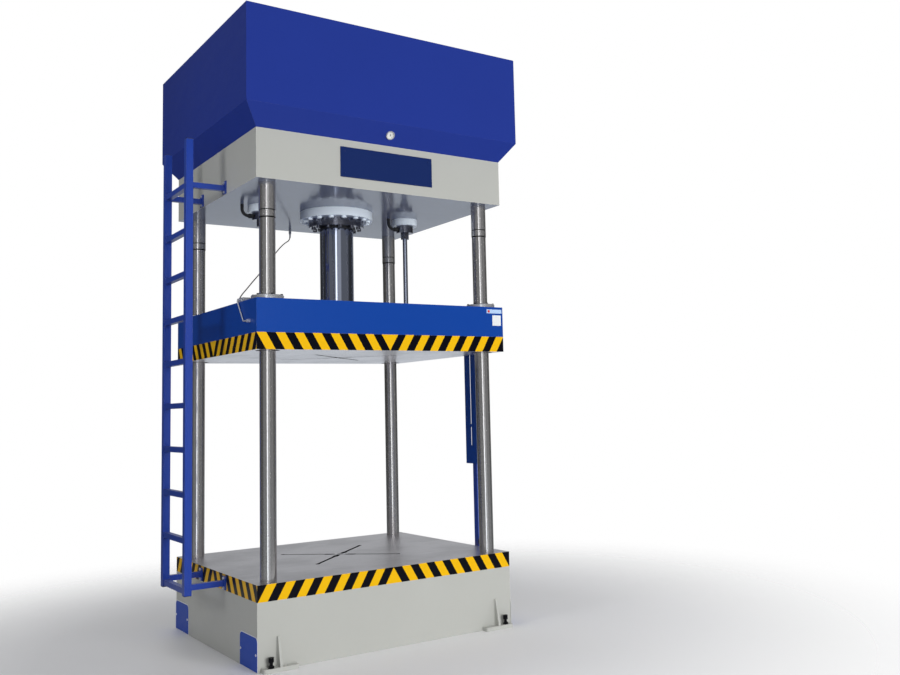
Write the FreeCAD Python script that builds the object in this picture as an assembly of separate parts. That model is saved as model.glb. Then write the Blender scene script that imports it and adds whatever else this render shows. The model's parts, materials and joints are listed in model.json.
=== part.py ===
import FreeCAD, Part
import math
import os

# Four-column hydraulic press. X runs along the front, the front faces -Y, Z is up.
# The origin is on the floor, under the middle of the bed. Every size is in millimetres.

# Overall sizes
PRESS_W = 1800.0            # bed, slide and crown along X
PRESS_D = 1600.0            # bed, slide and crown along Y
BED_H = 400.0               # welded bed under the table plate
TABLE_T = 100.0             # machined table plate
DAYLIGHT = 1390.0           # table to slide, with the slide where it stands at rest
SLIDE_PLATE_T = 105.0       # machined plate under the slide
SLIDE_BOX_H = 210.0         # welded slide above its plate
UPPER_GAP = 740.0           # slide top to crown, at rest
CROWN_H = 315.0
SKIRT_H = 130.0             # sloping part of the hood
HOOD_HEADROOM = 55.0        # hood above the main cylinder's valve
HOOD_OVERHANG = 95.0
UP_TRAVEL = 110.0           # what the slide can still rise
DOWN_TRAVEL = 690.0         # what the slide can still fall

# Clearances
FIT = 0.05                  # radial, between turned pieces that slide or locate
LOOSE = 0.1                 # radial, at the gland and the pistons

# Columns
COLUMN_R = 50.0
COLUMN_END_R = COLUMN_R - 5  # threaded ends
COLUMN_SEAT = 50.0          # depth of the shoulder in the table
CROWN_SEAT = 30.0           # depth of the shoulder in the crown
COLUMN_END_OUT = 30.0       # thread past each nut
NUT_R = COLUMN_END_R + 35   # across corners, as a radius
NUT_H = 90.0
NUT_CLEAR = 7.0             # from the nuts to what stands beside them
SLEEVE_R = COLUMN_R + 2.5
SLEEVE_LEN = 228.0
SLEEVE_GROOVE = 6.0
SLEEVE_GROOVE_R = COLUMN_R + 1
SLEEVE_GROOVE_UP = 48.0     # from the sleeve's lower end to its groove

# Welded boxes
BED_WALL = 25.0
COLUMN_INSET = NUT_R + NUT_CLEAR + BED_WALL  # from the faces of the bed to the column axes
BED_FLOOR = 20.0
BED_RIB = 20.0
BED_RIB_X = 300.0
BED_RIB_Y = 250.0
CROWN_WALL = 30.0
CROWN_PLATE_LOW = 60.0
CROWN_PLATE_TOP = 50.0
CROWN_RIB_X = 330.0
CROWN_RIB_Y = 260.0
BOSS_R = COLUMN_R + 42      # column bosses, which run into the walls
SLIDE_WALL = 25.0
SLIDE_TOP_PLATE = 40.0
SLIDE_RIB_X = 300.0
SLIDE_RIB_Y = 250.0
VENT_R = 55.0               # round windows in the inner ribs

# T-slots of the table and the slide
SLOT_REACH = 425.0          # centre to the far end of a slot
SLOT_W = 22.0
SLOT_DEPTH = 38.0
TEE_W = 38.0
TEE_H = 17.0
POCKET_FROM = 52.0
POCKET_TO = 112.0
SLOT_END_R = 16.0
CENTRE_HOLE_R = 25.0
SLIDE_HOLE_DEPTH = 90.0     # centring hole in the slide's plate

# Main cylinder
RAM_R = 120.0
PISTON_R = RAM_R + 20
PISTON_H = 110.0
BARREL_R = PISTON_R + 50
MAIN_FLANGE_R = BARREL_R + 70
MAIN_FLANGE_T = 60.0
GLAND_R = PISTON_R + 57.5
GLAND_T = 55.0
SPIGOT_H = 20.0
END_GAP = 10.0              # left at each end of the stroke
RAM_FOOT_R = RAM_R + 50
RAM_FOOT_H = 40.0
WIPER_R = RAM_R + 14
WIPER_T = 12.0
FLANGE_SCREWS = 16
FLANGE_SCREW_R = 12.0
FLANGE_SCREW_RING = BARREL_R + 38
GLAND_SCREWS = 12
GLAND_SCREW_R = 10.0
GLAND_SCREW_RING = PISTON_R + 25
VALVE_H = 70.0
VALVE_DOME_R = BARREL_R - 80
VALVE_DOME_H = 50.0

# Return cylinders, one each side
RETURN_INSET = 335.0        # from the side face to the rod axis
ROD_R = 17.5
ROD_PISTON_R = 2 * ROD_R
ROD_PISTON_H = 50.0
RETURN_BARREL_R = ROD_PISTON_R + 10
RETURN_FLANGE_R = RETURN_BARREL_R + 48.5
RETURN_FLANGE_T = 50.0
RETURN_CAP_T = 25.0
RETURN_GLAND_R = ROD_PISTON_R + 28
RETURN_GLAND_T = 53.0
RETURN_NUT_R = ROD_R + 17
RETURN_NUT_H = 45.0
HOSE_R = 11.0
HOSE_HOLE_R = 14.0
HOSE_OUT = 75.0             # from the gland's side to the hose's rising run
FERRULE_R = 16.0
FERRULE_LEN = 28.0

# Guide bushes
BUSH_R = COLUMN_R + 25
BUSH_FLANGE_R = BUSH_R + 25
BUSH_BOSS_R = BUSH_R + 22
BUSH_FLANGE_T = 25.0
BUSH_SHORT = 10.0           # the bush ends this far above the slide's face
BUSH_SCREWS = 6
BUSH_SCREW_R = 5.0
BUSH_SCREW_RING = BUSH_R + 12

# Hood, tank and power unit on the crown
SHEET = 3.0
HOOD_LIP = COLUMN_INSET - NUT_R - NUT_CLEAR  # turned in over the crown, clear of the column nuts
HOOD_BEND_R = 8.0
TANK_WALL = 5.0
TANK_H = 500.0
TANK_END_GAP = 100.0        # from the tank to the crown's side faces
TANK_BACK_GAP = 40.0
TANK_FRONT_Y = BARREL_R + 40
FILLER_R = 40.0
MOTOR_R = 130.0
MOTOR_LEN = 360.0
MOTOR_AXIS_UP = 180.0
MOTOR_PAST_NUT = 108.0      # from the column nut to the motor's axis, so that its feet clear the nut
MOTOR_FROM_FRONT = COLUMN_INSET + NUT_R + MOTOR_PAST_NUT
MOTOR_OVER_NUT = 72.0       # sideways, the housing starts this far over the nut
MOTOR_FROM_SIDE = COLUMN_INSET + NUT_R - MOTOR_OVER_NUT
MOTOR_SHELL = 20.0
SHAFT_R = 19.0
ROTOR_R = 75.0
FIN_H = 8.0
COWL_LEN = 80.0
BELL_LEN = 120.0
BELL_R = 100.0
COUPLING_R = 48.0
PUMP_R = 70.0
PUMP_LEN = 180.0
BLOCK_FROM_SIDE = 400.0     # valve block, from the right face
BLOCK_W = 250.0
BLOCK_D = 150.0
BLOCK_H = 160.0
PIPE_R = 21.0
PIPE_BEND = 70.0
HOSE_BEND = 45.0

# Levelling feet
FOOT_FROM_SIDE = 20.0       # outer end of a foot plate, from the side face
FOOT_LEN = 215.0
FOOT_OUT = 57.0
FOOT_T = 25.0
FOOT_CORNER_R = 15.0
FOOT_RIB_T = 14.0
FOOT_RIB_H = 170.0
ANCHOR_FROM_SIDE = 169.0
ANCHOR_OUT = 28.0
ANCHOR_R = 11.0
LEVEL_FROM_SIDE = 70.0
LEVEL_OUT = 35.0
LEVEL_R = 10.0
LEVEL_HEAD_R = 16.0
LEVEL_HEAD_Z = 59.0
LEVEL_HEAD_H = 27.0

# Access covers in the bed's side faces
COVER_W = 286.0
COVER_FROM_END = 142.0      # centre of a cover, from the front or back face
COVER_LOW = 4.0
COVER_TOP = 197.0
COVER_CORNER_R = 30.0
COVER_EDGE = 32.0           # cover past its opening
COVER_SCREW_R = 4.0
COVER_SCREW_IN = 16.0

# Ladder
LADDER_OUT = 237.0          # side face to the post axes
LADDER_HALF = 235.0
POST_SIZE = 45.0
TUBE_WALL = 3.0
POST_LOW = 398.0
POST_TOP_UP = 340.0         # posts end this far above the crown's lower face
RUNG_SIZE = 35.0
RUNG_FIRST = 730.0
RUNG_PITCH = 280.0
TIE_LOW = 425.0             # cross tie under the first rung
ARM_LOW = 446.0
ARM_TOP_UP = 40.0           # upper arms, above the crown's lower face
ARM_PAD_T = 8.0
ARM_PAD_W = 60.0
ARM_PAD_H = 84.0

# Plate and gauge on the front
PLATE_W = 680.0
PLATE_H = 200.0
PLATE_T = 4.0
PLATE_UP = 68.0             # above the crown's lower face
GAUGE_R = 30.0
GAUGE_BODY_R = 26.0
GAUGE_BEZEL_T = 12.0
GAUGE_BODY_LEN = 30.0
GAUGE_FACE_DEPTH = 8.0
GAUGE_UP = 63.0             # gauge centre above the crown's top
DIAL_T = 1.0
GLASS_T = 1.5
NEEDLE_T = 0.8
NEEDLE_LEN = 19.0
SPINDLE_R = 1.0

# Cam plate on the slide, and the post with its switches
CAM_GAP = 25.0              # from the slide's side face to the cam plate
CAM_T = 6.0
CAM_W = 155.0
CAM_BACK_Y = -235.0
CAM_LOW = -800.0            # end of the plate, from the slide's lower face
CAM_TOP = 260.0
CAM_SLOT_W = 14.0
CAM_SLOT_Y = -310.0
CAM_SLOTS = ((-508.0, 95.0), (-666.0, -530.0))
CAM_BLOCK_W = 50.0
CAM_BLOCK_H = 30.0
CAM_BLOCK_T = 14.0
CAM_BLOCKS = (-519.0, -679.0)
SWITCH_POST = 50.0
SWITCH_POST_GAP = 24.0      # from the cam plate to the post
SWITCH_POST_Y = -302.0
SWITCH_POST_END = 20.0      # post below its lower arm
SWITCH_POST_DOWN = 105.0    # from the slide's top to the post's top
SWITCH_ARM_STEP = 120.0
SWITCH_ARM_GAP = 40.0       # under the cam plate at its lowest
SWITCH_ARM_DOWN = 40.0      # least depth of the upper arm under the bed's top
SWITCH_ARM_H = 40.0
SENSOR_R = 9.0
SENSOR_GAP = 3.0
SENSOR_LEN = 66.0
CLAMP_T = 30.0

# Lubrication of the guides
LUBE_BLOCK_W = 60.0
LUBE_BLOCK_IN = 15.0
LUBE_BLOCK_H = 30.0
LUBE_PIPE_R = 4.0
LUBE_PIPE_OUT = 9.0
LUBE_BEND = 12.0
LUBE_UNION_R = 10.0
LUBE_UNION_IN = 110.0       # from the front face
LUBE_UNION_DOWN = 134.0
HOSE_D = 8.0
FITTING_R = 11.0
HOSE_SHARE = 0.45           # arc length taken from the shorter run
HOSE_LAID_FOR = (900.0, 800.0, 2205.0, 740.0)  # half width, half depth, slide top, upper gap
HOSE_COURSE = (             # from the block on the slide, behind the left rod, up to the crown
    (-855, -420, 2220), (-855, -380, 2220), (-839, -312, 2235), (-800, -232, 2268), (-752, -150, 2306),
    (-700, -66, 2342), (-648, 20, 2380), (-592, 102, 2424), (-532, 184, 2470), (-472, 262, 2520),
    (-410, 338, 2574), (-346, 412, 2634), (-280, 484, 2697), (-216, 556, 2756), (-154, 626, 2804),
    (-106, 682, 2834), (-72, 724, 2852), (-50, 750, 2881), (-50, 750, 2915))

# Places that follow from the sizes above
BED_TOP = BED_H
TABLE_TOP = BED_TOP + TABLE_T
SLIDE_BOTTOM = TABLE_TOP + DAYLIGHT
SLIDE_SEAT = SLIDE_BOTTOM + SLIDE_PLATE_T
SLIDE_TOP = SLIDE_SEAT + SLIDE_BOX_H
CROWN_BOTTOM = SLIDE_TOP + UPPER_GAP
CROWN_TOP = CROWN_BOTTOM + CROWN_H
SKIRT_TOP = CROWN_TOP + SKIRT_H
HALF_W = PRESS_W / 2
HALF_D = PRESS_D / 2
COLUMN_X = HALF_W - COLUMN_INSET
COLUMN_Y = HALF_D - COLUMN_INSET
RETURN_X = HALF_W - RETURN_INSET
FLANGE_LOW = CROWN_BOTTOM - MAIN_FLANGE_T
PISTON_LOW = FLANGE_LOW + SPIGOT_H + END_GAP + DOWN_TRAVEL
PISTON_TOP = PISTON_LOW + PISTON_H
BARREL_TOP = PISTON_TOP + UP_TRAVEL + END_GAP
HOOD_TOP = BARREL_TOP + VALVE_H + VALVE_DOME_H + HOOD_HEADROOM
RETURN_LOW = CROWN_BOTTOM - RETURN_FLANGE_T
ROD_PISTON_LOW = RETURN_LOW + SPIGOT_H + END_GAP + DOWN_TRAVEL
ROD_TOP = ROD_PISTON_LOW + ROD_PISTON_H
RETURN_BORE_TOP = ROD_TOP + UP_TRAVEL + END_GAP
MOTOR_Y = -(HALF_D - MOTOR_FROM_FRONT)
MOTOR_Z = CROWN_TOP + MOTOR_AXIS_UP
MOTOR_X0 = -(HALF_W - MOTOR_FROM_SIDE)
BLOCK_X1 = HALF_W - BLOCK_FROM_SIDE
BLOCK_X0 = BLOCK_X1 - BLOCK_W
BLOCK_Y0 = MOTOR_Y - 0.55 * BLOCK_D
BLOCK_BACK = BLOCK_Y0 + BLOCK_D
CAM_LOWEST = SLIDE_BOTTOM + CAM_LOW - DOWN_TRAVEL
UPPER_ARM = min(CAM_LOWEST - SWITCH_ARM_GAP, BED_TOP - SWITCH_ARM_DOWN) - SWITCH_ARM_H
SWITCH_ARMS = (UPPER_ARM - SWITCH_ARM_STEP, UPPER_ARM)
SWITCH_POST_LOW = SWITCH_ARMS[0] - SWITCH_POST_END
SWITCH_POST_TOP = SLIDE_TOP - SWITCH_POST_DOWN
LUBE_BLOCK_Y = (-0.65 * HALF_D, -0.525 * HALF_D)
LUBE_UNION_Y = -HALF_D + LUBE_UNION_IN
HOSE_POINTS = [(x * HALF_W / HOSE_LAID_FOR[0], y * HALF_D / HOSE_LAID_FOR[1],
                SLIDE_TOP + (z - HOSE_LAID_FOR[2]) * UPPER_GAP / HOSE_LAID_FOR[3])
               for x, y, z in HOSE_COURSE]
CORNERS = (("front_left", -1, -1), ("front_right", 1, -1), ("back_left", -1, 1), ("back_right", 1, 1))

PIECES = {}


def box(x0, y0, z0, x1, y1, z1):
    """Block between two opposite corners."""
    return Part.makeBox(x1 - x0, y1 - y0, z1 - z0, FreeCAD.Vector(x0, y0, z0))


def rod(radius, z0, z1, x=0.0, y=0.0):
    """Upright round bar."""
    return Part.makeCylinder(radius, z1 - z0, FreeCAD.Vector(x, y, z0))


def rod_x(radius, x0, x1, y, z):
    """Round bar along X."""
    return Part.makeCylinder(radius, x1 - x0, FreeCAD.Vector(x0, y, z), FreeCAD.Vector(1, 0, 0))


def rod_y(radius, y0, y1, x, z):
    """Round bar along Y."""
    return Part.makeCylinder(radius, y1 - y0, FreeCAD.Vector(x, y0, z), FreeCAD.Vector(0, 1, 0))


def turned(profile, x=0.0, y=0.0):
    """Solid of revolution about an upright axis, from (radius, height) points."""
    points = [FreeCAD.Vector(x + r, y, z) for r, z in profile]
    face = Part.Face(Part.makePolygon(points + points[:1]))
    return face.revolve(FreeCAD.Vector(x, y, 0), FreeCAD.Vector(0, 0, 1), 360)


def hexagon(radius, z0, z1, x=0.0, y=0.0):
    """Upright hexagonal prism; radius is to its corners."""
    corners = [FreeCAD.Vector(x + radius * math.cos(math.radians(60 * k)),
                              y + radius * math.sin(math.radians(60 * k)), z0) for k in range(7)]
    return Part.Face(Part.makePolygon(corners)).extrude(FreeCAD.Vector(0, 0, z1 - z0))


def slab(half_w, half_d, z):
    """Rectangle about the middle, as a wire at one height."""
    corners = ((-1, -1), (1, -1), (1, 1), (-1, 1), (-1, -1))
    return Part.makePolygon([FreeCAD.Vector(sx * half_w, sy * half_d, z) for sx, sy in corners])


def fused(shapes):
    """One solid from pieces welded or cast together."""
    result = shapes[0]
    for shape in shapes[1:]:
        result = result.fuse(shape)
    return result.removeSplitter()


def cut(shape, tools):
    """Shape less each tool."""
    for tool in tools:
        shape = shape.cut(tool)
    return shape


def ring_places(count, radius, start=0.0, x=0.0, y=0.0):
    """Even places on a circle."""
    step = 2 * math.pi / count
    return [(x + radius * math.cos(start + step * k), y + radius * math.sin(start + step * k))
            for k in range(count)]


def bent_wire(points, radius=None):
    """Straight runs joined by tangent arcs; with no radius each arc is as large as its runs allow."""
    points = [FreeCAD.Vector(*p) for p in points]
    edges = []
    last = points[0]
    radii = []
    for before, corner, after in zip(points, points[1:], points[2:]):
        inward = (before - corner).normalize()
        outward = (after - corner).normalize()
        half_turn = (math.pi - inward.getAngle(outward)) / 2
        run = min((before - corner).Length, (after - corner).Length)
        arc_r = radius or HOSE_SHARE * run / math.tan(half_turn)
        back = arc_r * math.tan(half_turn)
        start = corner + inward * back
        end = corner + outward * back
        bisector = (inward + outward).normalize()
        middle = corner + bisector * (arc_r / math.cos(half_turn) - arc_r)
        edges.append(Part.LineSegment(last, start).toShape())
        edges.append(Part.Arc(start, middle, end).toShape())
        last = end
        radii.append(arc_r)
    edges.append(Part.LineSegment(last, points[-1]).toShape())
    return Part.Wire(edges), radii


def tube(points, outer_r, radius=None):
    """Round bar along a bent wire."""
    wire, radii = bent_wire(points, radius)
    start = FreeCAD.Vector(*points[0])
    direction = FreeCAD.Vector(*points[1]) - start
    section = Part.Face(Part.Wire(Part.makeCircle(outer_r, start, direction)))
    return wire.makePipe(section), radii


def square_tube(size, wall, start, end):
    """Square hollow section between two points on one axis line."""
    lo = [min(a, b) for a, b in zip(start, end)]
    hi = [max(a, b) for a, b in zip(start, end)]
    outer_lo = [v - (size / 2 if hi[k] == lo[k] else 0) for k, v in enumerate(lo)]
    outer_hi = [v + (size / 2 if hi[k] == lo[k] else 0) for k, v in enumerate(hi)]
    inner_lo = [v + (wall if hi[k] == lo[k] else -1) for k, v in enumerate(outer_lo)]
    inner_hi = [v - (wall if hi[k] == lo[k] else -1) for k, v in enumerate(outer_hi)]
    return box(*outer_lo, *outer_hi).cut(box(*inner_lo, *inner_hi))


def add(name, *solids):
    """Keep a named piece, or a group of like pieces, for export."""
    PIECES[name] = solids[0] if len(solids) == 1 else Part.makeCompound(list(solids))


def at_columns():
    """Column names and places."""
    return [(name, sx * COLUMN_X, sy * COLUMN_Y) for name, sx, sy in CORNERS]


def rib_grid(rib_x, rib_y, thickness, inner_x, inner_y, z0, z1):
    """Crossed ribs with a round window in each stretch."""
    ribs = []
    for side in (-1, 1):
        x0, y0 = side * rib_x - thickness / 2, side * rib_y - thickness / 2
        ribs.append(box(x0, -inner_y, z0, x0 + thickness, inner_y, z1))
        ribs.append(box(-inner_x, y0, z0, inner_x, y0 + thickness, z1))
    grid = fused(ribs)
    height = (z0 + z1) / 2
    window_r = min(VENT_R, 0.35 * (z1 - z0))
    for step in (-1, 0, 1):
        y = step * (rib_y + inner_y) / 2
        x = step * (rib_x + inner_x) / 2
        grid = grid.cut(rod_x(window_r, -inner_x, inner_x, y, height))
        grid = grid.cut(rod_y(window_r, -inner_y, inner_y, x, height))
    return grid


def tee_slots(face_z, into):
    """Crossed T-slots with entry pockets, sunk from one face; into is -1 downwards, 1 upwards."""
    def sunk(depth0, depth1):
        return sorted((face_z + into * depth0, face_z + into * depth1))

    tools = []
    neck_z = sunk(-1, SLOT_DEPTH)
    tee_z = sunk(SLOT_DEPTH - TEE_H, SLOT_DEPTH)
    neck = box(0, -SLOT_W / 2, neck_z[0], SLOT_REACH, SLOT_W / 2, neck_z[1])
    tee = box(POCKET_TO, -TEE_W / 2, tee_z[0], SLOT_REACH, TEE_W / 2, tee_z[1])
    pocket = box(POCKET_FROM, -TEE_W / 2, neck_z[0], POCKET_TO, TEE_W / 2, neck_z[1])
    hole = rod(SLOT_END_R, neck_z[0], neck_z[1], SLOT_REACH)
    slot = fused([neck, tee, pocket, hole])
    for quarter in range(4):
        turned_slot = slot.copy()
        turned_slot.rotate(FreeCAD.Vector(0, 0, 0), FreeCAD.Vector(0, 0, 1), 45 + 90 * quarter)
        tools.append(turned_slot)
    return fused(tools)


def make_bed():
    """Welded bed and the machined table plate on it."""
    shell = box(-HALF_W, -HALF_D, 0, HALF_W, HALF_D, BED_TOP)
    inner_x = HALF_W - BED_WALL
    inner_y = HALF_D - BED_WALL
    shell = shell.cut(box(-inner_x, -inner_y, BED_FLOOR, inner_x, inner_y, BED_TOP))
    grid = rib_grid(BED_RIB_X, BED_RIB_Y, BED_RIB, inner_x, inner_y, BED_FLOOR, BED_TOP)
    bed = fused([shell, grid])
    for sx, y0, y1 in cover_places():
        window = box(HALF_W - BED_WALL, y0 + COVER_EDGE, COVER_LOW + BED_FLOOR,
                     HALF_W, y1 - COVER_EDGE, COVER_TOP - COVER_EDGE)
        if sx < 0:
            window = window.mirror(FreeCAD.Vector(0, 0, 0), FreeCAD.Vector(1, 0, 0))
        bed = bed.cut(window)
    bed = cut(bed, [screw_hole for screw_hole in cover_screw_bars(FIT)])
    add("bed_frame", bed)

    table = box(-HALF_W, -HALF_D, BED_TOP, HALF_W, HALF_D, TABLE_TOP)
    table = table.cut(tee_slots(TABLE_TOP, -1))
    table = table.cut(rod(CENTRE_HOLE_R, BED_TOP, TABLE_TOP))
    for _, x, y in at_columns():
        table = table.cut(rod(COLUMN_R + FIT, TABLE_TOP - COLUMN_SEAT, TABLE_TOP, x, y))
        table = table.cut(rod(COLUMN_END_R + FIT, BED_TOP, TABLE_TOP, x, y))
    add("bed_table", table)


def cover_places():
    """Side and Y range of each access cover."""
    middle = HALF_D - COVER_FROM_END
    return [(sx, sy * middle - COVER_W / 2, sy * middle + COVER_W / 2) for sx in (-1, 1) for sy in (-1, 1)]


def cover_screw_bars(extra):
    """Shanks of the cover screws, or with extra radius the holes for them."""
    bars = []
    height = (COVER_LOW + COVER_TOP) / 2
    for sx, y0, y1 in cover_places():
        for y in (y0 + COVER_SCREW_IN, y1 - COVER_SCREW_IN):
            x0, x1 = sorted((sx * (HALF_W - BED_WALL), sx * (HALF_W + SHEET)))
            bars.append(rod_x(COVER_SCREW_R + extra, x0, x1, y, height))
    return bars


def make_covers():
    """Sheet covers with rounded upper corners, and their round-headed screws."""
    covers = []
    screws = []
    height = (COVER_LOW + COVER_TOP) / 2
    for sx, y0, y1 in cover_places():
        x0, x1 = sorted((sx * HALF_W, sx * (HALF_W + SHEET)))
        cover = box(x0, y0, COVER_LOW, x1, y1, COVER_TOP)
        upper = [e for e in cover.Edges if abs(e.BoundBox.XLength - SHEET) < 0.01
                 and e.BoundBox.ZMin > COVER_TOP - 1]
        cover = cover.makeFillet(COVER_CORNER_R, upper)
        covers.append(cut(cover, cover_screw_bars(FIT)))
        for y in (y0 + COVER_SCREW_IN, y1 - COVER_SCREW_IN):
            head_x = sorted((sx * (HALF_W + SHEET), sx * (HALF_W + 2 * SHEET)))
            shank_x = sorted((sx * (HALF_W - 0.7 * BED_WALL), sx * (HALF_W + SHEET)))
            screws.append(fused([rod_x(1.8 * COVER_SCREW_R, *head_x, y, height),
                                 rod_x(COVER_SCREW_R, *shank_x, y, height)]))
    add("access_covers", *covers)
    add("cover_screws", *screws)


def make_feet():
    """Foot plates welded to the front and back faces, with ribs and levelling bolts."""
    feet = []
    bolts = []
    for _, sx, sy in CORNERS:
        x1 = HALF_W - FOOT_FROM_SIDE
        x0 = x1 - FOOT_LEN
        plate = box(x0, HALF_D, 0, x1, HALF_D + FOOT_OUT, FOOT_T)
        outer = [e for e in plate.Edges if abs(e.BoundBox.ZLength - FOOT_T) < 0.01
                 and e.BoundBox.YMin > HALF_D + 1]
        plate = plate.makeFillet(FOOT_CORNER_R, outer)
        rib_x = (x0 + x1) / 2
        profile = [FreeCAD.Vector(rib_x, HALF_D, FOOT_T), FreeCAD.Vector(rib_x, HALF_D + FOOT_OUT - 6, FOOT_T),
                   FreeCAD.Vector(rib_x, HALF_D + 14, FOOT_T + FOOT_RIB_H),
                   FreeCAD.Vector(rib_x, HALF_D, FOOT_T + FOOT_RIB_H)]
        rib = Part.Face(Part.makePolygon(profile + profile[:1])).extrude(FreeCAD.Vector(FOOT_RIB_T, 0, 0))
        rib.translate(FreeCAD.Vector(-FOOT_RIB_T / 2, 0, 0))
        foot = fused([plate, rib])
        anchor_x = HALF_W - ANCHOR_FROM_SIDE
        level_x = HALF_W - LEVEL_FROM_SIDE
        foot = foot.cut(rod(ANCHOR_R, 0, FOOT_T, anchor_x, HALF_D + ANCHOR_OUT))
        foot = foot.cut(rod(LEVEL_R + FIT, 0, FOOT_T, level_x, HALF_D + LEVEL_OUT))
        bolt = fused([rod(LEVEL_R, 0, LEVEL_HEAD_Z, level_x, HALF_D + LEVEL_OUT),
                      rod(LEVEL_HEAD_R, LEVEL_HEAD_Z, LEVEL_HEAD_Z + LEVEL_HEAD_H, level_x, HALF_D + LEVEL_OUT)])
        bolt = bolt.cut(hexagon(9, LEVEL_HEAD_Z + LEVEL_HEAD_H - 12, LEVEL_HEAD_Z + LEVEL_HEAD_H,
                                level_x, HALF_D + LEVEL_OUT))
        for shape, group in ((foot, feet), (bolt, bolts)):
            if sx < 0:
                shape = shape.mirror(FreeCAD.Vector(0, 0, 0), FreeCAD.Vector(1, 0, 0))
            if sy < 0:
                shape = shape.mirror(FreeCAD.Vector(0, 0, 0), FreeCAD.Vector(0, 1, 0))
            group.append(shape)
    add("levelling_feet", *feet)
    add("levelling_bolts", *bolts)


def make_columns():
    """Chromed columns with threaded ends, their nuts and the sleeves under the crown."""
    low = BED_TOP - NUT_H - COLUMN_END_OUT
    high = CROWN_TOP + NUT_H + COLUMN_END_OUT
    nuts_low = []
    nuts_high = []
    sleeves = []
    for name, x, y in at_columns():
        seat_low = TABLE_TOP - COLUMN_SEAT
        seat_high = CROWN_BOTTOM + CROWN_SEAT
        add("column_" + name, turned([(0, low), (COLUMN_END_R, low), (COLUMN_END_R, seat_low),
                                      (COLUMN_R, seat_low), (COLUMN_R, seat_high),
                                      (COLUMN_END_R, seat_high), (COLUMN_END_R, high), (0, high)], x, y))
        hole = rod(COLUMN_END_R + FIT, low, high, x, y)
        nuts_low.append(hexagon(NUT_R, BED_TOP - NUT_H, BED_TOP, x, y).cut(hole))
        nuts_high.append(hexagon(NUT_R, CROWN_TOP, CROWN_TOP + NUT_H, x, y).cut(hole))
        z0 = CROWN_BOTTOM - SLEEVE_LEN
        g0 = z0 + SLEEVE_GROOVE_UP
        g1 = g0 + SLEEVE_GROOVE
        bore = COLUMN_R + FIT
        sleeves.append(turned([(bore, z0), (SLEEVE_GROOVE_R, z0), (SLEEVE_GROOVE_R, z0 + SLEEVE_GROOVE),
                               (SLEEVE_R, z0 + SLEEVE_GROOVE), (SLEEVE_R, g0), (SLEEVE_GROOVE_R, g0),
                               (SLEEVE_GROOVE_R, g1), (SLEEVE_R, g1), (SLEEVE_R, CROWN_BOTTOM),
                               (bore, CROWN_BOTTOM)], x, y))
    add("column_nuts_lower", *nuts_low)
    add("column_nuts_upper", *nuts_high)
    add("column_sleeves", *sleeves)


def hose_holes():
    """Holes that the return hoses take through the crown."""
    return [rod(HOSE_HOLE_R, CROWN_BOTTOM, CROWN_TOP, x) for x in return_hose_x()]


def return_hose_x():
    """X of the rising run of each return hose, left then right."""
    return [side * RETURN_X - RETURN_GLAND_R - HOSE_OUT for side in (-1, 1)]


def make_crown():
    """Welded crown with ribs, column bosses and the bores for the cylinders."""
    crown = box(-HALF_W, -HALF_D, CROWN_BOTTOM, HALF_W, HALF_D, CROWN_TOP)
    inner_x = HALF_W - CROWN_WALL
    inner_y = HALF_D - CROWN_WALL
    z0 = CROWN_BOTTOM + CROWN_PLATE_LOW
    z1 = CROWN_TOP - CROWN_PLATE_TOP
    crown = crown.cut(box(-inner_x, -inner_y, z0, inner_x, inner_y, z1))
    grid = rib_grid(CROWN_RIB_X, CROWN_RIB_Y, CROWN_WALL, inner_x, inner_y, z0, z1)
    bosses = [rod(BOSS_R, z0, z1, x, y) for _, x, y in at_columns()]
    crown = fused([crown, grid] + bosses)
    crown = crown.cut(rod(BARREL_R + FIT, CROWN_BOTTOM, CROWN_TOP))
    for side in (-1, 1):
        crown = crown.cut(rod(RETURN_BARREL_R + FIT, CROWN_BOTTOM, CROWN_TOP, side * RETURN_X))
    for _, x, y in at_columns():
        crown = crown.cut(rod(COLUMN_R + FIT, CROWN_BOTTOM, CROWN_BOTTOM + CROWN_SEAT, x, y))
        crown = crown.cut(rod(COLUMN_END_R + FIT, CROWN_BOTTOM, CROWN_TOP, x, y))
    for x, y in ring_places(FLANGE_SCREWS, FLANGE_SCREW_RING, math.pi / FLANGE_SCREWS):
        screw_top = CROWN_BOTTOM + 0.7 * CROWN_PLATE_LOW
        crown = crown.cut(rod(FLANGE_SCREW_R + FIT, CROWN_BOTTOM, screw_top, x, y))
    crown = cut(crown, hose_holes())
    fitting_hole = rod(FITTING_R / 2 + FIT, CROWN_BOTTOM, CROWN_BOTTOM + CROWN_PLATE_LOW / 2,
                       *HOSE_POINTS[-1][:2])
    add("crown_frame", crown.cut(fitting_hole))


def cap_screws(places, shank_r, head_r, head_h, seat_z, shank_len, up):
    """Socket-head screws; up is 1 where the head is under its seat, -1 where it is above."""
    screws = []
    for x, y in places:
        head_z = sorted((seat_z - up * head_h, seat_z))
        shank_z = sorted((seat_z, seat_z + up * shank_len))
        socket_z = sorted((seat_z - up * head_h, seat_z - up * 0.45 * head_h))
        screw = fused([rod(head_r, *head_z, x, y), rod(shank_r, *shank_z, x, y)])
        screws.append(screw.cut(hexagon(0.55 * head_r, *socket_z, x, y)))
    return screws


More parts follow.
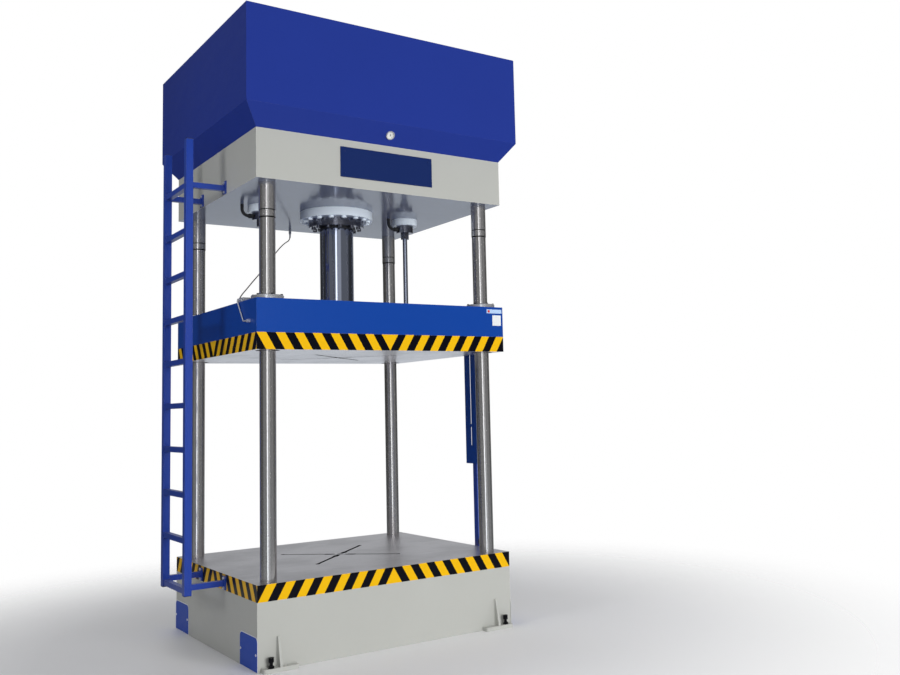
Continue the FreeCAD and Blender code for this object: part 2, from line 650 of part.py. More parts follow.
def make_main_cylinder():
    """Barrel, gland, wiper, screws and valve, and the ram with its piston."""
    barrel = turned([(PISTON_R, FLANGE_LOW), (MAIN_FLANGE_R, FLANGE_LOW), (MAIN_FLANGE_R, CROWN_BOTTOM),
                     (BARREL_R, CROWN_BOTTOM), (BARREL_R, BARREL_TOP), (PISTON_R, BARREL_TOP)])
    flange_places = ring_places(FLANGE_SCREWS, FLANGE_SCREW_RING, math.pi / FLANGE_SCREWS)
    gland_places = ring_places(GLAND_SCREWS, GLAND_SCREW_RING, math.pi / GLAND_SCREWS)
    barrel = cut(barrel, [rod(FLANGE_SCREW_R + FIT, FLANGE_LOW, CROWN_BOTTOM, x, y) for x, y in flange_places])
    gland_shank = GLAND_T + 0.6 * MAIN_FLANGE_T
    gland_low = FLANGE_LOW - GLAND_T
    barrel = cut(barrel, [rod(GLAND_SCREW_R + FIT, FLANGE_LOW, gland_low + gland_shank, x, y)
                          for x, y in gland_places])
    add("main_cylinder", barrel)
    add("cylinder_screws", *cap_screws(flange_places, FLANGE_SCREW_R, 1.5 * FLANGE_SCREW_R, 14.0,
                                       FLANGE_LOW, MAIN_FLANGE_T + 0.6 * CROWN_PLATE_LOW, 1))
    gland = turned([(RAM_R + LOOSE, gland_low), (GLAND_R, gland_low), (GLAND_R, FLANGE_LOW),
                    (PISTON_R - FIT, FLANGE_LOW), (PISTON_R - FIT, FLANGE_LOW + SPIGOT_H),
                    (RAM_R + LOOSE, FLANGE_LOW + SPIGOT_H)])
    add("main_gland", cut(gland, [rod(GLAND_SCREW_R + FIT, gland_low, FLANGE_LOW, x, y)
                                  for x, y in gland_places]))
    add("gland_screws", *cap_screws(gland_places, GLAND_SCREW_R, 1.5 * GLAND_SCREW_R, 14.0,
                                    gland_low, gland_shank, 1))
    add("ram_wiper", turned([(RAM_R + FIT, gland_low - WIPER_T), (WIPER_R, gland_low - WIPER_T),
                             (WIPER_R, gland_low), (RAM_R + FIT, gland_low)]))
    valve_top = BARREL_TOP + VALVE_H
    add("prefill_valve", turned([(0, BARREL_TOP - SPIGOT_H / 4), (PISTON_R - FIT, BARREL_TOP - SPIGOT_H / 4),
                                 (PISTON_R - FIT, BARREL_TOP), (BARREL_R, BARREL_TOP),
                                 (BARREL_R, valve_top), (VALVE_DOME_R, valve_top),
                                 (VALVE_DOME_R, valve_top + VALVE_DOME_H), (0, valve_top + VALVE_DOME_H)]))
    add("main_ram", turned([(0, SLIDE_SEAT), (RAM_FOOT_R, SLIDE_SEAT), (RAM_FOOT_R, SLIDE_SEAT + RAM_FOOT_H),
                            (RAM_R, SLIDE_SEAT + RAM_FOOT_H), (RAM_R, PISTON_LOW),
                            (PISTON_R - LOOSE, PISTON_LOW), (PISTON_R - LOOSE, PISTON_TOP), (0, PISTON_TOP)]))


def make_return_cylinders():
    """The two cylinders that lift the slide, with glands, nuts, rods and hoses."""
    glands = []
    nuts = []
    bore = ROD_PISTON_R
    gland_low = RETURN_LOW - RETURN_GLAND_T
    nut_low = gland_low - RETURN_NUT_H
    for side, name in ((-1, "left"), (1, "right")):
        x = side * RETURN_X
        add("return_cylinder_" + name,
            turned([(bore, RETURN_LOW), (RETURN_FLANGE_R, RETURN_LOW), (RETURN_FLANGE_R, CROWN_BOTTOM),
                    (RETURN_BARREL_R, CROWN_BOTTOM), (RETURN_BARREL_R, RETURN_BORE_TOP + RETURN_CAP_T),
                    (0, RETURN_BORE_TOP + RETURN_CAP_T), (0, RETURN_BORE_TOP), (bore, RETURN_BORE_TOP)], x))
        glands.append(turned([(ROD_R + LOOSE, gland_low), (RETURN_GLAND_R, gland_low),
                              (RETURN_GLAND_R, RETURN_LOW), (bore - FIT, RETURN_LOW),
                              (bore - FIT, RETURN_LOW + SPIGOT_H), (ROD_R + LOOSE, RETURN_LOW + SPIGOT_H)], x))
        bore_tool = rod(ROD_R + LOOSE, nut_low, gland_low, x)
        nuts.append(hexagon(RETURN_NUT_R, nut_low, gland_low, x).cut(bore_tool))
        foot = SLIDE_TOP - 0.8 * SLIDE_TOP_PLATE
        add("return_rod_" + name,
            turned([(0, foot), (ROD_R, foot), (ROD_R, ROD_PISTON_LOW), (bore - LOOSE, ROD_PISTON_LOW),
                    (bore - LOOSE, ROD_TOP), (0, ROD_TOP)], x))
    add("return_glands", *glands)
    add("return_gland_nuts", *nuts)

    port_z = gland_low + RETURN_GLAND_T / 2
    lane_y = -(BARREL_R + 30)
    lane_z = CROWN_TOP + BLOCK_H / 2
    left_x, right_x = return_hose_x()
    left_port = (-RETURN_X - RETURN_GLAND_R, 0, port_z)
    right_port = (RETURN_X - RETURN_GLAND_R, 0, port_z)
    left_in = BLOCK_X0 + 0.2 * BLOCK_W
    routes = {
        "left": [left_port, (left_x, 0, port_z), (left_x, 0, lane_z), (left_x, lane_y, lane_z),
                 (left_in, lane_y, lane_z), (left_in, BLOCK_BACK, lane_z)],
        "right": [right_port, (right_x, 0, port_z), (right_x, 0, lane_z), (right_x, BLOCK_BACK, lane_z)],
    }
    for name, route in routes.items():
        hose, _ = tube(route, HOSE_R, HOSE_BEND)
        x = route[0][0]
        ferrule = rod_x(FERRULE_R, x - FERRULE_LEN, x, 0, port_z)
        add("return_hose_" + name, fused([hose, ferrule]))


def make_hood():
    """Folded sheet hood with a sloping skirt and a lip that lies on the crown."""
    def body(inset, low, inner_top):
        slope = (HOOD_OVERHANG / SKIRT_H) * (low - CROWN_TOP)
        half_w = HALF_W + slope - inset * 1.25
        half_d = HALF_D + slope - inset * 1.25
        if inset == 0:
            half_w, half_d = HALF_W, HALF_D
        wide_w = HALF_W + HOOD_OVERHANG - inset
        wide_d = HALF_D + HOOD_OVERHANG - inset
        skirt = Part.makeLoft([slab(half_w, half_d, low), slab(wide_w, wide_d, SKIRT_TOP)], True, True)
        walls = box(-wide_w, -wide_d, SKIRT_TOP, wide_w, wide_d, inner_top)
        if inset == 0:
            upright = [e for e in walls.Edges if e.BoundBox.ZLength > (HOOD_TOP - SKIRT_TOP) / 2]
            top = [e for e in walls.Edges if e.BoundBox.ZMin > inner_top - 1]
            walls = walls.makeFillet(HOOD_BEND_R / 2, upright + top)
        return fused([skirt, walls])

    outer = body(0, CROWN_TOP, HOOD_TOP)
    inner = body(SHEET, CROWN_TOP + SHEET, HOOD_TOP - SHEET)
    mouth = box(-HALF_W + HOOD_LIP, -HALF_D + HOOD_LIP, CROWN_TOP - 1, HALF_W - HOOD_LIP, HALF_D - HOOD_LIP,
                CROWN_TOP + SHEET + 1)
    gauge_hole = gauge_place(Part.makeCylinder(GAUGE_BODY_R + 1, 60, FreeCAD.Vector(0, 0, -40)))
    add("hood_shell", outer.cut(inner).cut(mouth).cut(gauge_hole))


def make_tank():
    """Welded oil tank at the back of the crown, with its breather cap."""
    x = HALF_W - TANK_END_GAP
    y1 = HALF_D - TANK_BACK_GAP
    z1 = CROWN_TOP + TANK_H
    tank = box(-x, TANK_FRONT_Y, CROWN_TOP, x, y1, z1)
    tank = tank.cut(box(-x + TANK_WALL, TANK_FRONT_Y + TANK_WALL, CROWN_TOP + TANK_WALL,
                        x - TANK_WALL, y1 - TANK_WALL, z1 - TANK_WALL))
    fill_x, fill_y = x - 150, (TANK_FRONT_Y + y1) / 2
    for _, cx, cy in at_columns():
        tank = tank.cut(rod(NUT_R + 12, CROWN_TOP, CROWN_TOP + NUT_H + COLUMN_END_OUT + 12, cx, cy))
    add("oil_tank", tank.cut(rod(FILLER_R + FIT, z1 - TANK_WALL, z1, fill_x, fill_y)))
    cap_top = z1 + 60
    add("tank_breather", turned([(0, z1 - TANK_WALL), (FILLER_R, z1 - TANK_WALL), (FILLER_R, z1),
                                 (FILLER_R + 15, z1), (FILLER_R + 15, cap_top), (0, cap_top)], fill_x, fill_y))


def make_power_unit():
    """Electric motor, cowl, bell housing, pump and the shaft that turns."""
    x0 = MOTOR_X0
    x1 = x0 + MOTOR_LEN
    x2 = x1 + BELL_LEN
    x3 = x2 + PUMP_LEN
    y, z = MOTOR_Y, MOTOR_Z
    inner_r = MOTOR_R - MOTOR_SHELL
    housing = [rod_x(MOTOR_R, x0, x1, y, z)]
    for k in range(12):
        fin = box(x0 + 30, y - 3, z + MOTOR_R - 4, x1 - 30, y + 3, z + MOTOR_R + FIN_H)
        fin.rotate(FreeCAD.Vector(0, y, z), FreeCAD.Vector(1, 0, 0), -100 + 200 * k / 11.0)
        housing.append(fin)
    for foot_x in (x0 + 50, x1 - 110):
        housing.append(box(foot_x, y - MOTOR_R, CROWN_TOP, foot_x + 60, y + MOTOR_R, CROWN_TOP + 20))
        housing.append(box(foot_x, y - 70, CROWN_TOP, foot_x + 60, y + 70, z - 90))
    motor = fused(housing)
    motor = motor.cut(rod_x(inner_r, x0 + MOTOR_SHELL, x1 - MOTOR_SHELL, y, z))
    add("motor_housing", motor.cut(rod_x(SHAFT_R + FIT, x0, x1, y, z)))

    cowl = rod_x(MOTOR_R, x0 - COWL_LEN, x0, y, z).cut(rod_x(MOTOR_R - SHEET, x0 - COWL_LEN + SHEET, x0, y, z))
    for ring in (35, 65, 95):
        for py, pz in ring_places(int(ring / 5), ring, 0, y, z):
            cowl = cowl.cut(rod_x(5, x0 - COWL_LEN, x0 - COWL_LEN + SHEET, py, pz))
    add("motor_fan_cowl", cowl)

    coupling_x = x1 + 15
    fan_x = x0 - 55
    shaft = [rod_x(SHAFT_R, fan_x - 5, x2 - 12, y, z),
             rod_x(ROTOR_R, x0 + 70, x1 - 70, y, z),
             rod_x(COUPLING_R, coupling_x, x2 - 20, y, z),
             rod_x(30, fan_x, fan_x + 40, y, z)]
    for k in range(7):
        blade = box(fan_x, y - 2, z + 25, fan_x + 36, y + 2, z + 105)
        blade.rotate(FreeCAD.Vector(0, y, z), FreeCAD.Vector(1, 0, 0), 360 * k / 7.0)
        shaft.append(blade)
    add("motor_shaft", fused(shaft))

    bell = rod_x(BELL_R, x1, x2, y, z).cut(rod_x(BELL_R - 15, x1, x2 - 10, y, z))
    bell = bell.cut(rod(28, z, z + BELL_R, (x1 + x2) / 2, y))
    add("bell_housing", bell.cut(rod_x(SHAFT_R + 1, x2 - 10, x2, y, z)))
    pump = fused([rod_x(BELL_R - 10, x2, x2 + 20, y, z), rod_x(PUMP_R, x2 + 20, x3, y, z),
                  box(x2 + 60, y - 40, z - PUMP_R - 15, x3 - 30, y + 40, z),
                  rod(24, z, z + PUMP_R + 25, x3 - 60, y)])
    add("pump", pump)


def make_valves():
    """Valve block on the crown, its solenoid valves and the main pressure pipe."""
    z1 = CROWN_TOP + BLOCK_H
    block = box(BLOCK_X0, BLOCK_Y0, CROWN_TOP, BLOCK_X1, BLOCK_BACK, z1)
    edges = [e for e in block.Edges if e.BoundBox.ZLength > BLOCK_H / 2]
    add("valve_block", block.makeChamfer(5, edges))
    valves = []
    for k in range(3):
        x = BLOCK_X0 + BLOCK_W * (k + 0.5) / 3
        body = box(x - 30, BLOCK_Y0 - 70, CROWN_TOP + 40, x + 30, BLOCK_Y0, CROWN_TOP + 110)
        coil = rod(24, CROWN_TOP + 110, CROWN_TOP + 190, x, BLOCK_Y0 - 36)
        valves.append(fused([body, coil]))
    add("solenoid_valves", *valves)
    pipe_x = (BLOCK_X0 + BLOCK_X1) / 2
    pipe_y = (BLOCK_Y0 + BLOCK_BACK) / 2
    port_z = BARREL_TOP + VALVE_H / 2
    pipe, _ = tube([(pipe_x, pipe_y, z1), (pipe_x, pipe_y, port_z), (pipe_x, 0, port_z), (BARREL_R, 0, port_z)],
                   PIPE_R, PIPE_BEND)
    seat = rod(BARREL_R, port_z - 40, port_z + 40)
    add("pressure_pipe", pipe.cut(seat))


def make_ladder():
    """Ladder on the left side: posts, rungs and the arms that carry it."""
    x = -(HALF_W + LADDER_OUT)
    for side, name in ((-1, "front"), (1, "back")):
        y = side * LADDER_HALF
        top = CROWN_BOTTOM + POST_TOP_UP
        add("ladder_post_" + name, square_tube(POST_SIZE, TUBE_WALL, (x, y, POST_LOW), (x, y, top)))
    reach = LADDER_HALF - POST_SIZE / 2
    arm_top = CROWN_BOTTOM + ARM_TOP_UP
    rungs = int((arm_top - RUNG_FIRST) / RUNG_PITCH)
    heights = [TIE_LOW] + [RUNG_FIRST + RUNG_PITCH * k for k in range(rungs)] + [arm_top]
    add("ladder_rungs", *[square_tube(RUNG_SIZE, TUBE_WALL, (x, -reach, z), (x, reach, z)) for z in heights])
    arms = []
    for z in (ARM_LOW, arm_top):
        for side in (-1, 1):
            y = side * LADDER_HALF
            arm = square_tube(RUNG_SIZE, TUBE_WALL, (x + POST_SIZE / 2, y, z), (-HALF_W - ARM_PAD_T, y, z))
            pad_low = z - ARM_PAD_H / 2 if z == ARM_LOW else CROWN_BOTTOM + 4
            pad = box(-HALF_W - ARM_PAD_T, y - ARM_PAD_W / 2, pad_low, -HALF_W, y + ARM_PAD_W / 2,
                      pad_low + ARM_PAD_H)
            arms.append(fused([arm, pad]))
    add("ladder_brackets", *arms)


def gauge_place(shape):
    """Set a shape made about +Z on the sloping skirt, with +Z facing out of it."""
    length = math.hypot(HOOD_OVERHANG, SKIRT_H)
    out = FreeCAD.Vector(0, -SKIRT_H / length, -HOOD_OVERHANG / length)
    centre = FreeCAD.Vector(0, -(HALF_D + HOOD_OVERHANG * GAUGE_UP / SKIRT_H), CROWN_TOP + GAUGE_UP)
    placed = shape.copy()
    placed.Placement = FreeCAD.Placement(centre, FreeCAD.Rotation(FreeCAD.Vector(0, 0, 1), out))
    return placed


def make_front_fittings():
    """Nameplate on the crown and pressure gauge on the skirt."""
    z0 = CROWN_BOTTOM + PLATE_UP
    plate = box(-PLATE_W / 2, -HALF_D - PLATE_T, z0, PLATE_W / 2, -HALF_D, z0 + PLATE_H)
    edges = [e for e in plate.Edges if abs(e.BoundBox.YLength - PLATE_T) < 0.01]
    add("nameplate", plate.makeFillet(4, edges))

    well = GAUGE_BEZEL_T - GAUGE_FACE_DEPTH
    rim_r = GAUGE_R - 5
    glass_low = GAUGE_BEZEL_T - GLASS_T - 1
    case = turned([(0, -GAUGE_BODY_LEN), (GAUGE_BODY_R, -GAUGE_BODY_LEN), (GAUGE_BODY_R, 0), (GAUGE_R, 0),
                   (GAUGE_R, GAUGE_BEZEL_T - 2), (GAUGE_R - 2, GAUGE_BEZEL_T), (rim_r, GAUGE_BEZEL_T),
                   (rim_r, glass_low), (rim_r - 1.5, glass_low), (rim_r - 1.5, well), (0, well)])
    bore = Part.makeCylinder(SPINDLE_R + FIT, 6, FreeCAD.Vector(0, 0, well - 6))
    add("gauge_case", gauge_place(case.cut(bore)))
    dial = turned([(SPINDLE_R + FIT, well), (rim_r - 1.6, well), (rim_r - 1.6, well + DIAL_T),
                   (SPINDLE_R + FIT, well + DIAL_T)])
    add("gauge_dial", gauge_place(dial))
    add("gauge_glass", gauge_place(Part.makeCylinder(rim_r - FIT, GLASS_T, FreeCAD.Vector(0, 0, glass_low))))
    low = well + DIAL_T + 0.5
    pointer = Part.Face(Part.makePolygon([FreeCAD.Vector(*p, low) for p in
                                          ((-1.6, -6), (1.6, -6), (0.4, NEEDLE_LEN), (-0.4, NEEDLE_LEN),
                                           (-1.6, -6))])).extrude(FreeCAD.Vector(0, 0, NEEDLE_T))
    hub = Part.makeCylinder(3, NEEDLE_T + 0.6, FreeCAD.Vector(0, 0, low))
    spindle = Part.makeCylinder(SPINDLE_R, low + 0.5 - well + 5, FreeCAD.Vector(0, 0, well - 5))
    needle = fused([pointer, hub, spindle])
    needle.rotate(FreeCAD.Vector(0, 0, 0), FreeCAD.Vector(0, 0, 1), 135)
    add("gauge_needle", gauge_place(needle))


def make_slide():
    """Welded slide, its T-slotted plate and the guide bushes."""
    frame = box(-HALF_W, -HALF_D, SLIDE_SEAT, HALF_W, HALF_D, SLIDE_TOP)
    inner_x = HALF_W - SLIDE_WALL
    inner_y = HALF_D - SLIDE_WALL
    z1 = SLIDE_TOP - SLIDE_TOP_PLATE
    frame = frame.cut(box(-inner_x, -inner_y, SLIDE_SEAT, inner_x, inner_y, z1))
    grid = rib_grid(SLIDE_RIB_X, SLIDE_RIB_Y, SLIDE_WALL, inner_x, inner_y, SLIDE_SEAT, z1)
    bosses = [rod(BUSH_BOSS_R, SLIDE_SEAT, z1, x, y) for _, x, y in at_columns()]
    posts = [rod(2 * ROD_R, SLIDE_SEAT, z1, side * RETURN_X) for side in (-1, 1)]
    frame = fused([frame, grid] + bosses + posts)
    frame = frame.cut(rod(RAM_R + FIT, z1, SLIDE_TOP))
    bush_places = [p for _, x, y in at_columns() for p in ring_places(BUSH_SCREWS, BUSH_SCREW_RING, 0.5, x, y)]
    for _, x, y in at_columns():
        frame = frame.cut(rod(BUSH_R + FIT, SLIDE_SEAT, SLIDE_TOP, x, y))
    for side in (-1, 1):
        frame = frame.cut(rod(ROD_R + FIT, SLIDE_TOP - 0.8 * SLIDE_TOP_PLATE, SLIDE_TOP, side * RETURN_X))
    shank = BUSH_FLANGE_T + 0.5 * SLIDE_TOP_PLATE
    bush_top = SLIDE_TOP + BUSH_FLANGE_T
    frame = cut(frame, [rod(BUSH_SCREW_R + FIT, bush_top - shank, SLIDE_TOP, x, y) for x, y in bush_places])
    add("slide_frame", frame)

    plate = box(-HALF_W, -HALF_D, SLIDE_BOTTOM, HALF_W, HALF_D, SLIDE_SEAT)
    plate = plate.cut(tee_slots(SLIDE_BOTTOM, 1))
    plate = plate.cut(rod(CENTRE_HOLE_R, SLIDE_BOTTOM, SLIDE_BOTTOM + SLIDE_HOLE_DEPTH))
    for _, x, y in at_columns():
        plate = plate.cut(rod(BUSH_R + FIT, SLIDE_BOTTOM, SLIDE_SEAT, x, y))
    add("slide_plate", plate)

    bushes = []
    for _, x, y in at_columns():
        bore = COLUMN_R + FIT
        low = SLIDE_BOTTOM + BUSH_SHORT
        bush = turned([(bore, low), (BUSH_R, low), (BUSH_R, SLIDE_TOP), (BUSH_FLANGE_R, SLIDE_TOP),
                       (BUSH_FLANGE_R, bush_top - 3), (BUSH_FLANGE_R - 3, bush_top), (bore, bush_top)], x, y)
        holes = ring_places(BUSH_SCREWS, BUSH_SCREW_RING, 0.5, x, y)
        bushes.append(cut(bush, [rod(BUSH_SCREW_R + FIT, SLIDE_TOP, bush_top, hx, hy) for hx, hy in holes]))
    add("guide_bushes", *bushes)
    add("bush_screws", *cap_screws(bush_places, BUSH_SCREW_R, 1.6 * BUSH_SCREW_R, 8.0, bush_top, shank, -1))


def make_travel_switches():
    """Cam plate on the slide's right side, and the fixed post with its proximity switches."""
    x0 = HALF_W + CAM_GAP
    x1 = x0 + CAM_T
    y0 = CAM_BACK_Y - CAM_W
    plate = box(x0, y0, SLIDE_BOTTOM + CAM_LOW, x1, CAM_BACK_Y, SLIDE_BOTTOM + CAM_TOP)
    arms = [box(HALF_W, CAM_SLOT_Y - 30, SLIDE_SEAT + up, x0, CAM_SLOT_Y + 30, SLIDE_SEAT + up + 35)
            for up in (15, 110)]
    plate = fused([plate] + arms)
    for low, high in CAM_SLOTS:
        slot = box(x0, CAM_SLOT_Y - CAM_SLOT_W / 2, SLIDE_BOTTOM + low, x1, CAM_SLOT_Y + CAM_SLOT_W / 2,
                   SLIDE_BOTTOM + high)
        plate = plate.cut(slot)
    add("cam_plate", plate)
    sensor_y = SWITCH_POST_Y - SWITCH_POST / 2 - CLAMP_T / 2
    blocks = []
    for up in CAM_BLOCKS:
        z = SLIDE_BOTTOM + up
        blocks.append(box(x1, sensor_y - CAM_BLOCK_W / 2, z - CAM_BLOCK_H / 2, x1 + CAM_BLOCK_T,
                          sensor_y + CAM_BLOCK_W / 2, z + CAM_BLOCK_H / 2))
    add("cam_blocks", *blocks)

    px = x1 + SWITCH_POST_GAP
    mid_x = px + SWITCH_POST / 2
    post = square_tube(SWITCH_POST, TUBE_WALL, (mid_x, SWITCH_POST_Y, SWITCH_POST_LOW),
                       (mid_x, SWITCH_POST_Y, SWITCH_POST_TOP))
    half = SWITCH_POST / 2
    feet = [box(HALF_W, SWITCH_POST_Y - half, z, px, SWITCH_POST_Y + half, z + SWITCH_ARM_H)
            for z in SWITCH_ARMS]
    add("switch_post", fused([post] + feet))
    sensors = []
    face_x = x1 + CAM_BLOCK_T + SENSOR_GAP
    travels = (UP_TRAVEL, -DOWN_TRAVEL)
    for up, travel in zip(CAM_BLOCKS, travels):
        z = SLIDE_BOTTOM + up + travel
        clamp = box(px, SWITCH_POST_Y - half - CLAMP_T, z - 20, px + SWITCH_POST, SWITCH_POST_Y - half, z + 20)
        sensors.append(fused([clamp, rod_x(SENSOR_R, face_x, face_x + SENSOR_LEN, sensor_y, z)]))
    add("proximity_switches", *sensors)


def make_lubrication():
    """Distributor and pipe on the slide, and the hose that feeds them from the crown."""
    x0 = -HALF_W + LUBE_BLOCK_IN
    x1 = x0 + LUBE_BLOCK_W
    block = box(x0, LUBE_BLOCK_Y[0], SLIDE_TOP, x1, LUBE_BLOCK_Y[1], SLIDE_TOP + LUBE_BLOCK_H)
    pipe_x = -HALF_W - LUBE_PIPE_OUT
    pipe_z = SLIDE_TOP + 14
    pipe_y = LUBE_BLOCK_Y[0] + 36
    union_z = SLIDE_TOP - LUBE_UNION_DOWN
    route = [(x0, pipe_y, pipe_z), (pipe_x, pipe_y, pipe_z), (pipe_x, pipe_y - 112, union_z + 6),
             (pipe_x, LUBE_UNION_Y, union_z)]
    pipe, _ = tube(route, LUBE_PIPE_R, LUBE_BEND)
    union = rod_x(LUBE_UNION_R, -HALF_W - 22, -HALF_W, LUBE_UNION_Y, union_z)
    add("lube_line", fused([block, pipe, union]))

    hose, radii = tube(HOSE_POINTS, HOSE_D / 2)
    print("lubrication hose radii", [round(r) for r in radii])
    wire, _ = bent_wire(HOSE_POINTS)
    section = math.pi * (HOSE_D / 2) ** 2
    print("lubrication hose length", round(wire.Length), "by volume", round(hose.Volume / section))
    add("lube_hose", hose)
    x, y, end_z = HOSE_POINTS[-1]
    fitting = fused([hexagon(FITTING_R, end_z, CROWN_BOTTOM, x, y),
                     rod(FITTING_R / 2, CROWN_BOTTOM, CROWN_BOTTOM + CROWN_PLATE_LOW / 3, x, y)])
    add("crown_fitting", fitting)


def main():
    """Make every piece and write one file for each."""
    make_bed()
    make_covers()
    make_feet()
    make_columns()
    make_crown()
    make_main_cylinder()
    make_return_cylinders()
    make_hood()
    make_tank()
    make_power_unit()
    make_valves()
    make_ladder()
    make_front_fittings()
    make_slide()
    make_travel_switches()
    make_lubrication()
    os.makedirs("parts", exist_ok=True)
    for name, shape in PIECES.items():
        if not shape.isValid():
            print("not valid:", name)
        shape.exportStep("parts/" + name + ".step")
    print(len(PIECES), "pieces")


main()
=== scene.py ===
import json
import math

import bmesh
import bpy
from mathutils import Euler, Matrix, Vector


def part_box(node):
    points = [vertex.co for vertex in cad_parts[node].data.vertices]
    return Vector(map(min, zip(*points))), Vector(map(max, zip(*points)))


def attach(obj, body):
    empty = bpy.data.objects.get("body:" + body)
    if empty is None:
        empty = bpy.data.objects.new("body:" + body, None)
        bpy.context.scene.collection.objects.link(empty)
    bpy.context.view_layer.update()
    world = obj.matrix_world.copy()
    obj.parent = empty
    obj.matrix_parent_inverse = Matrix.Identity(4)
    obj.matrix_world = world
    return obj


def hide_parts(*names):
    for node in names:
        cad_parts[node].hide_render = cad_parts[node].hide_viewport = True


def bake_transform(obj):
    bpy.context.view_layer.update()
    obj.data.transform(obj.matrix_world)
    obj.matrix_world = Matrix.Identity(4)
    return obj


bl_info = {
    "name": "Four-column press",
    "version": (1, 0, 0),
    "blender": (4, 5, 0),
    "location": "View3D > Sidebar > Press",
    "description": "Finishes, small fittings and studio for a packed four-column press",
    "category": "Object",
}

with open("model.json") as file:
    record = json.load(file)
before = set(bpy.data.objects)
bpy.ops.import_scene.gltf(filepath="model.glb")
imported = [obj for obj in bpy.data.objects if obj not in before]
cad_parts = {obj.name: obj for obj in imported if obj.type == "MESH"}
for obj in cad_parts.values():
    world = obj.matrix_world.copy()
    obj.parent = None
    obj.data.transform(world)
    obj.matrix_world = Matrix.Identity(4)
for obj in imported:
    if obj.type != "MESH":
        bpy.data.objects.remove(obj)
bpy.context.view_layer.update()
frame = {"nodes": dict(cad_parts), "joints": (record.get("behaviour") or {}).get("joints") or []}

# Route of the lubrication hose, from the block on the slide up to the crown.
HOSE_ROUTE = (
    (-0.855, -0.420, 2.220), (-0.855, -0.380, 2.220), (-0.839, -0.312, 2.235), (-0.800, -0.232, 2.268),
    (-0.752, -0.150, 2.306), (-0.700, -0.066, 2.342), (-0.648, 0.020, 2.380), (-0.592, 0.102, 2.424),
    (-0.532, 0.184, 2.470), (-0.472, 0.262, 2.520), (-0.410, 0.338, 2.574), (-0.346, 0.412, 2.634),
    (-0.280, 0.484, 2.697), (-0.216, 0.556, 2.756), (-0.154, 0.626, 2.804), (-0.106, 0.682, 2.834),
    (-0.072, 0.724, 2.852), (-0.050, 0.750, 2.881), (-0.050, 0.750, 2.915),
)

# Where the ladder's rungs and ties cross its posts, and where its arms are bolted on.
RUNG_HEIGHTS = (0.425, *(0.73 + 0.28 * k for k in range(8)), 2.985)
ARM_FEET = (0.404, 2.949)
ARM_SIDE = 0.235
ARM_BOLTS = (0.012, 0.072)
ARM_PAD = 0.008

# Levelling feet, given on the right: ends of the foot plate, its bolt, its top and its rib.
FOOT_ENDS = (0.880, 0.665)
FOOT_BOLT = 0.830
FOOT_BOLT_OUT = 0.035
FOOT_TOP = 0.025
RIB_HALF = 0.007

# Edges of an access cover along the side face, and the lip of its gasket.
COVER_EDGES = (0.515, 0.801)
GASKET_LIP = 0.005
GASKET_CORNER = 0.0325

# Rivets of the nameplate, in from its edges.
RIVET_IN = 0.028

# Labels on the front of the slide: left and right edge, lower and upper edge.
LABEL_UPPER = (0.765, 0.891, 2.160, 2.188)
LABEL_LOWER = (0.812, 0.883, 2.073, 2.147)
LABEL_THICK = 0.001
LABEL_DOT = (0.782, 2.174)

# Bolts of the cam plate: heights over the slide plate, and places along the side.
CAM_BOLT_HEIGHTS = (0.0325, 0.1275)
CAM_BOLT_PLACES = (-0.328, -0.292)

FINISHES = {}
EFFECTS = {}


def paint(red, green, blue):
    """A display colour, given as 0 to 255, as the linear colour that the shaders take."""
    def linear(value):
        value /= 255
        return value / 12.92 if value <= 0.04045 else ((value + 0.055) / 1.055) ** 2.4

    return linear(red), linear(green), linear(blue)


def colour_prop(name, description, default):
    """A colour the user may change."""
    return bpy.props.FloatVectorProperty(
        name=name, description=description, subtype="COLOR", size=3, min=0, max=1, default=default
    )


def length_prop(name, description, default):
    """A length the user may change."""
    return bpy.props.FloatProperty(name=name, description=description, default=default, min=0, unit="LENGTH",
                                   subtype="DISTANCE", precision=4)


def share_prop(name, description, default, most=1.0):
    """A plain amount the user may change."""
    return bpy.props.FloatProperty(name=name, description=description, default=default, min=0, max=most)


def power_prop(name, description, default):
    """A light's power the user may change."""
    return bpy.props.FloatProperty(name=name, description=description, default=default, min=0, unit="POWER")


class PressColours(bpy.types.PropertyGroup):
    """Colours of the press."""

    hood: colour_prop("Hood", "Enamel of the hood", paint(29, 51, 138))
    slide: colour_prop("Slide", "Enamel of the slide", paint(6, 62, 150))
    ladder: colour_prop("Ladder", "Enamel of the ladder and the switch post", paint(32, 63, 156))
    covers: colour_prop("Covers", "Enamel of the access covers", paint(19, 68, 173))
    body_grey: colour_prop("Body grey", "Enamel of the bed and the crown", paint(179, 180, 175))
    crown_under: colour_prop("Crown's underside", "Smooth enamel under the crown", paint(130, 138, 160))
    flange_white: colour_prop("Flange white", "Enamel of the cylinders and flanges", paint(236, 246, 255))
    tank_grey: colour_prop("Tank grey", "Enamel of the tank and the motor", paint(106, 111, 119))
    stripe_yellow: colour_prop("Stripe yellow", "Light stripes along the edges", paint(232, 180, 11))
    stripe_black: colour_prop("Stripe black", "Dark stripes along the edges", paint(7, 7, 16))
    plate_navy: colour_prop("Plate navy", "Field of the nameplate", paint(17, 38, 92))
    column: colour_prop("Column chrome", "Polished columns and their sleeves", paint(232, 228, 226))
    chrome: colour_prop("Rod chrome", "Hard chrome of the ram and the rods", paint(200, 206, 226))
    ground: colour_prop("Ground steel", "Ground working faces", paint(222, 219, 222))
    turned: colour_prop("Turned steel", "Guide bushes", paint(222, 222, 226))
    gland: colour_prop("Gland steel", "Satin steel of the glands", paint(152, 151, 160))
    blackened: colour_prop("Blackened steel", "Nuts, bolts and glands", paint(34, 34, 38))


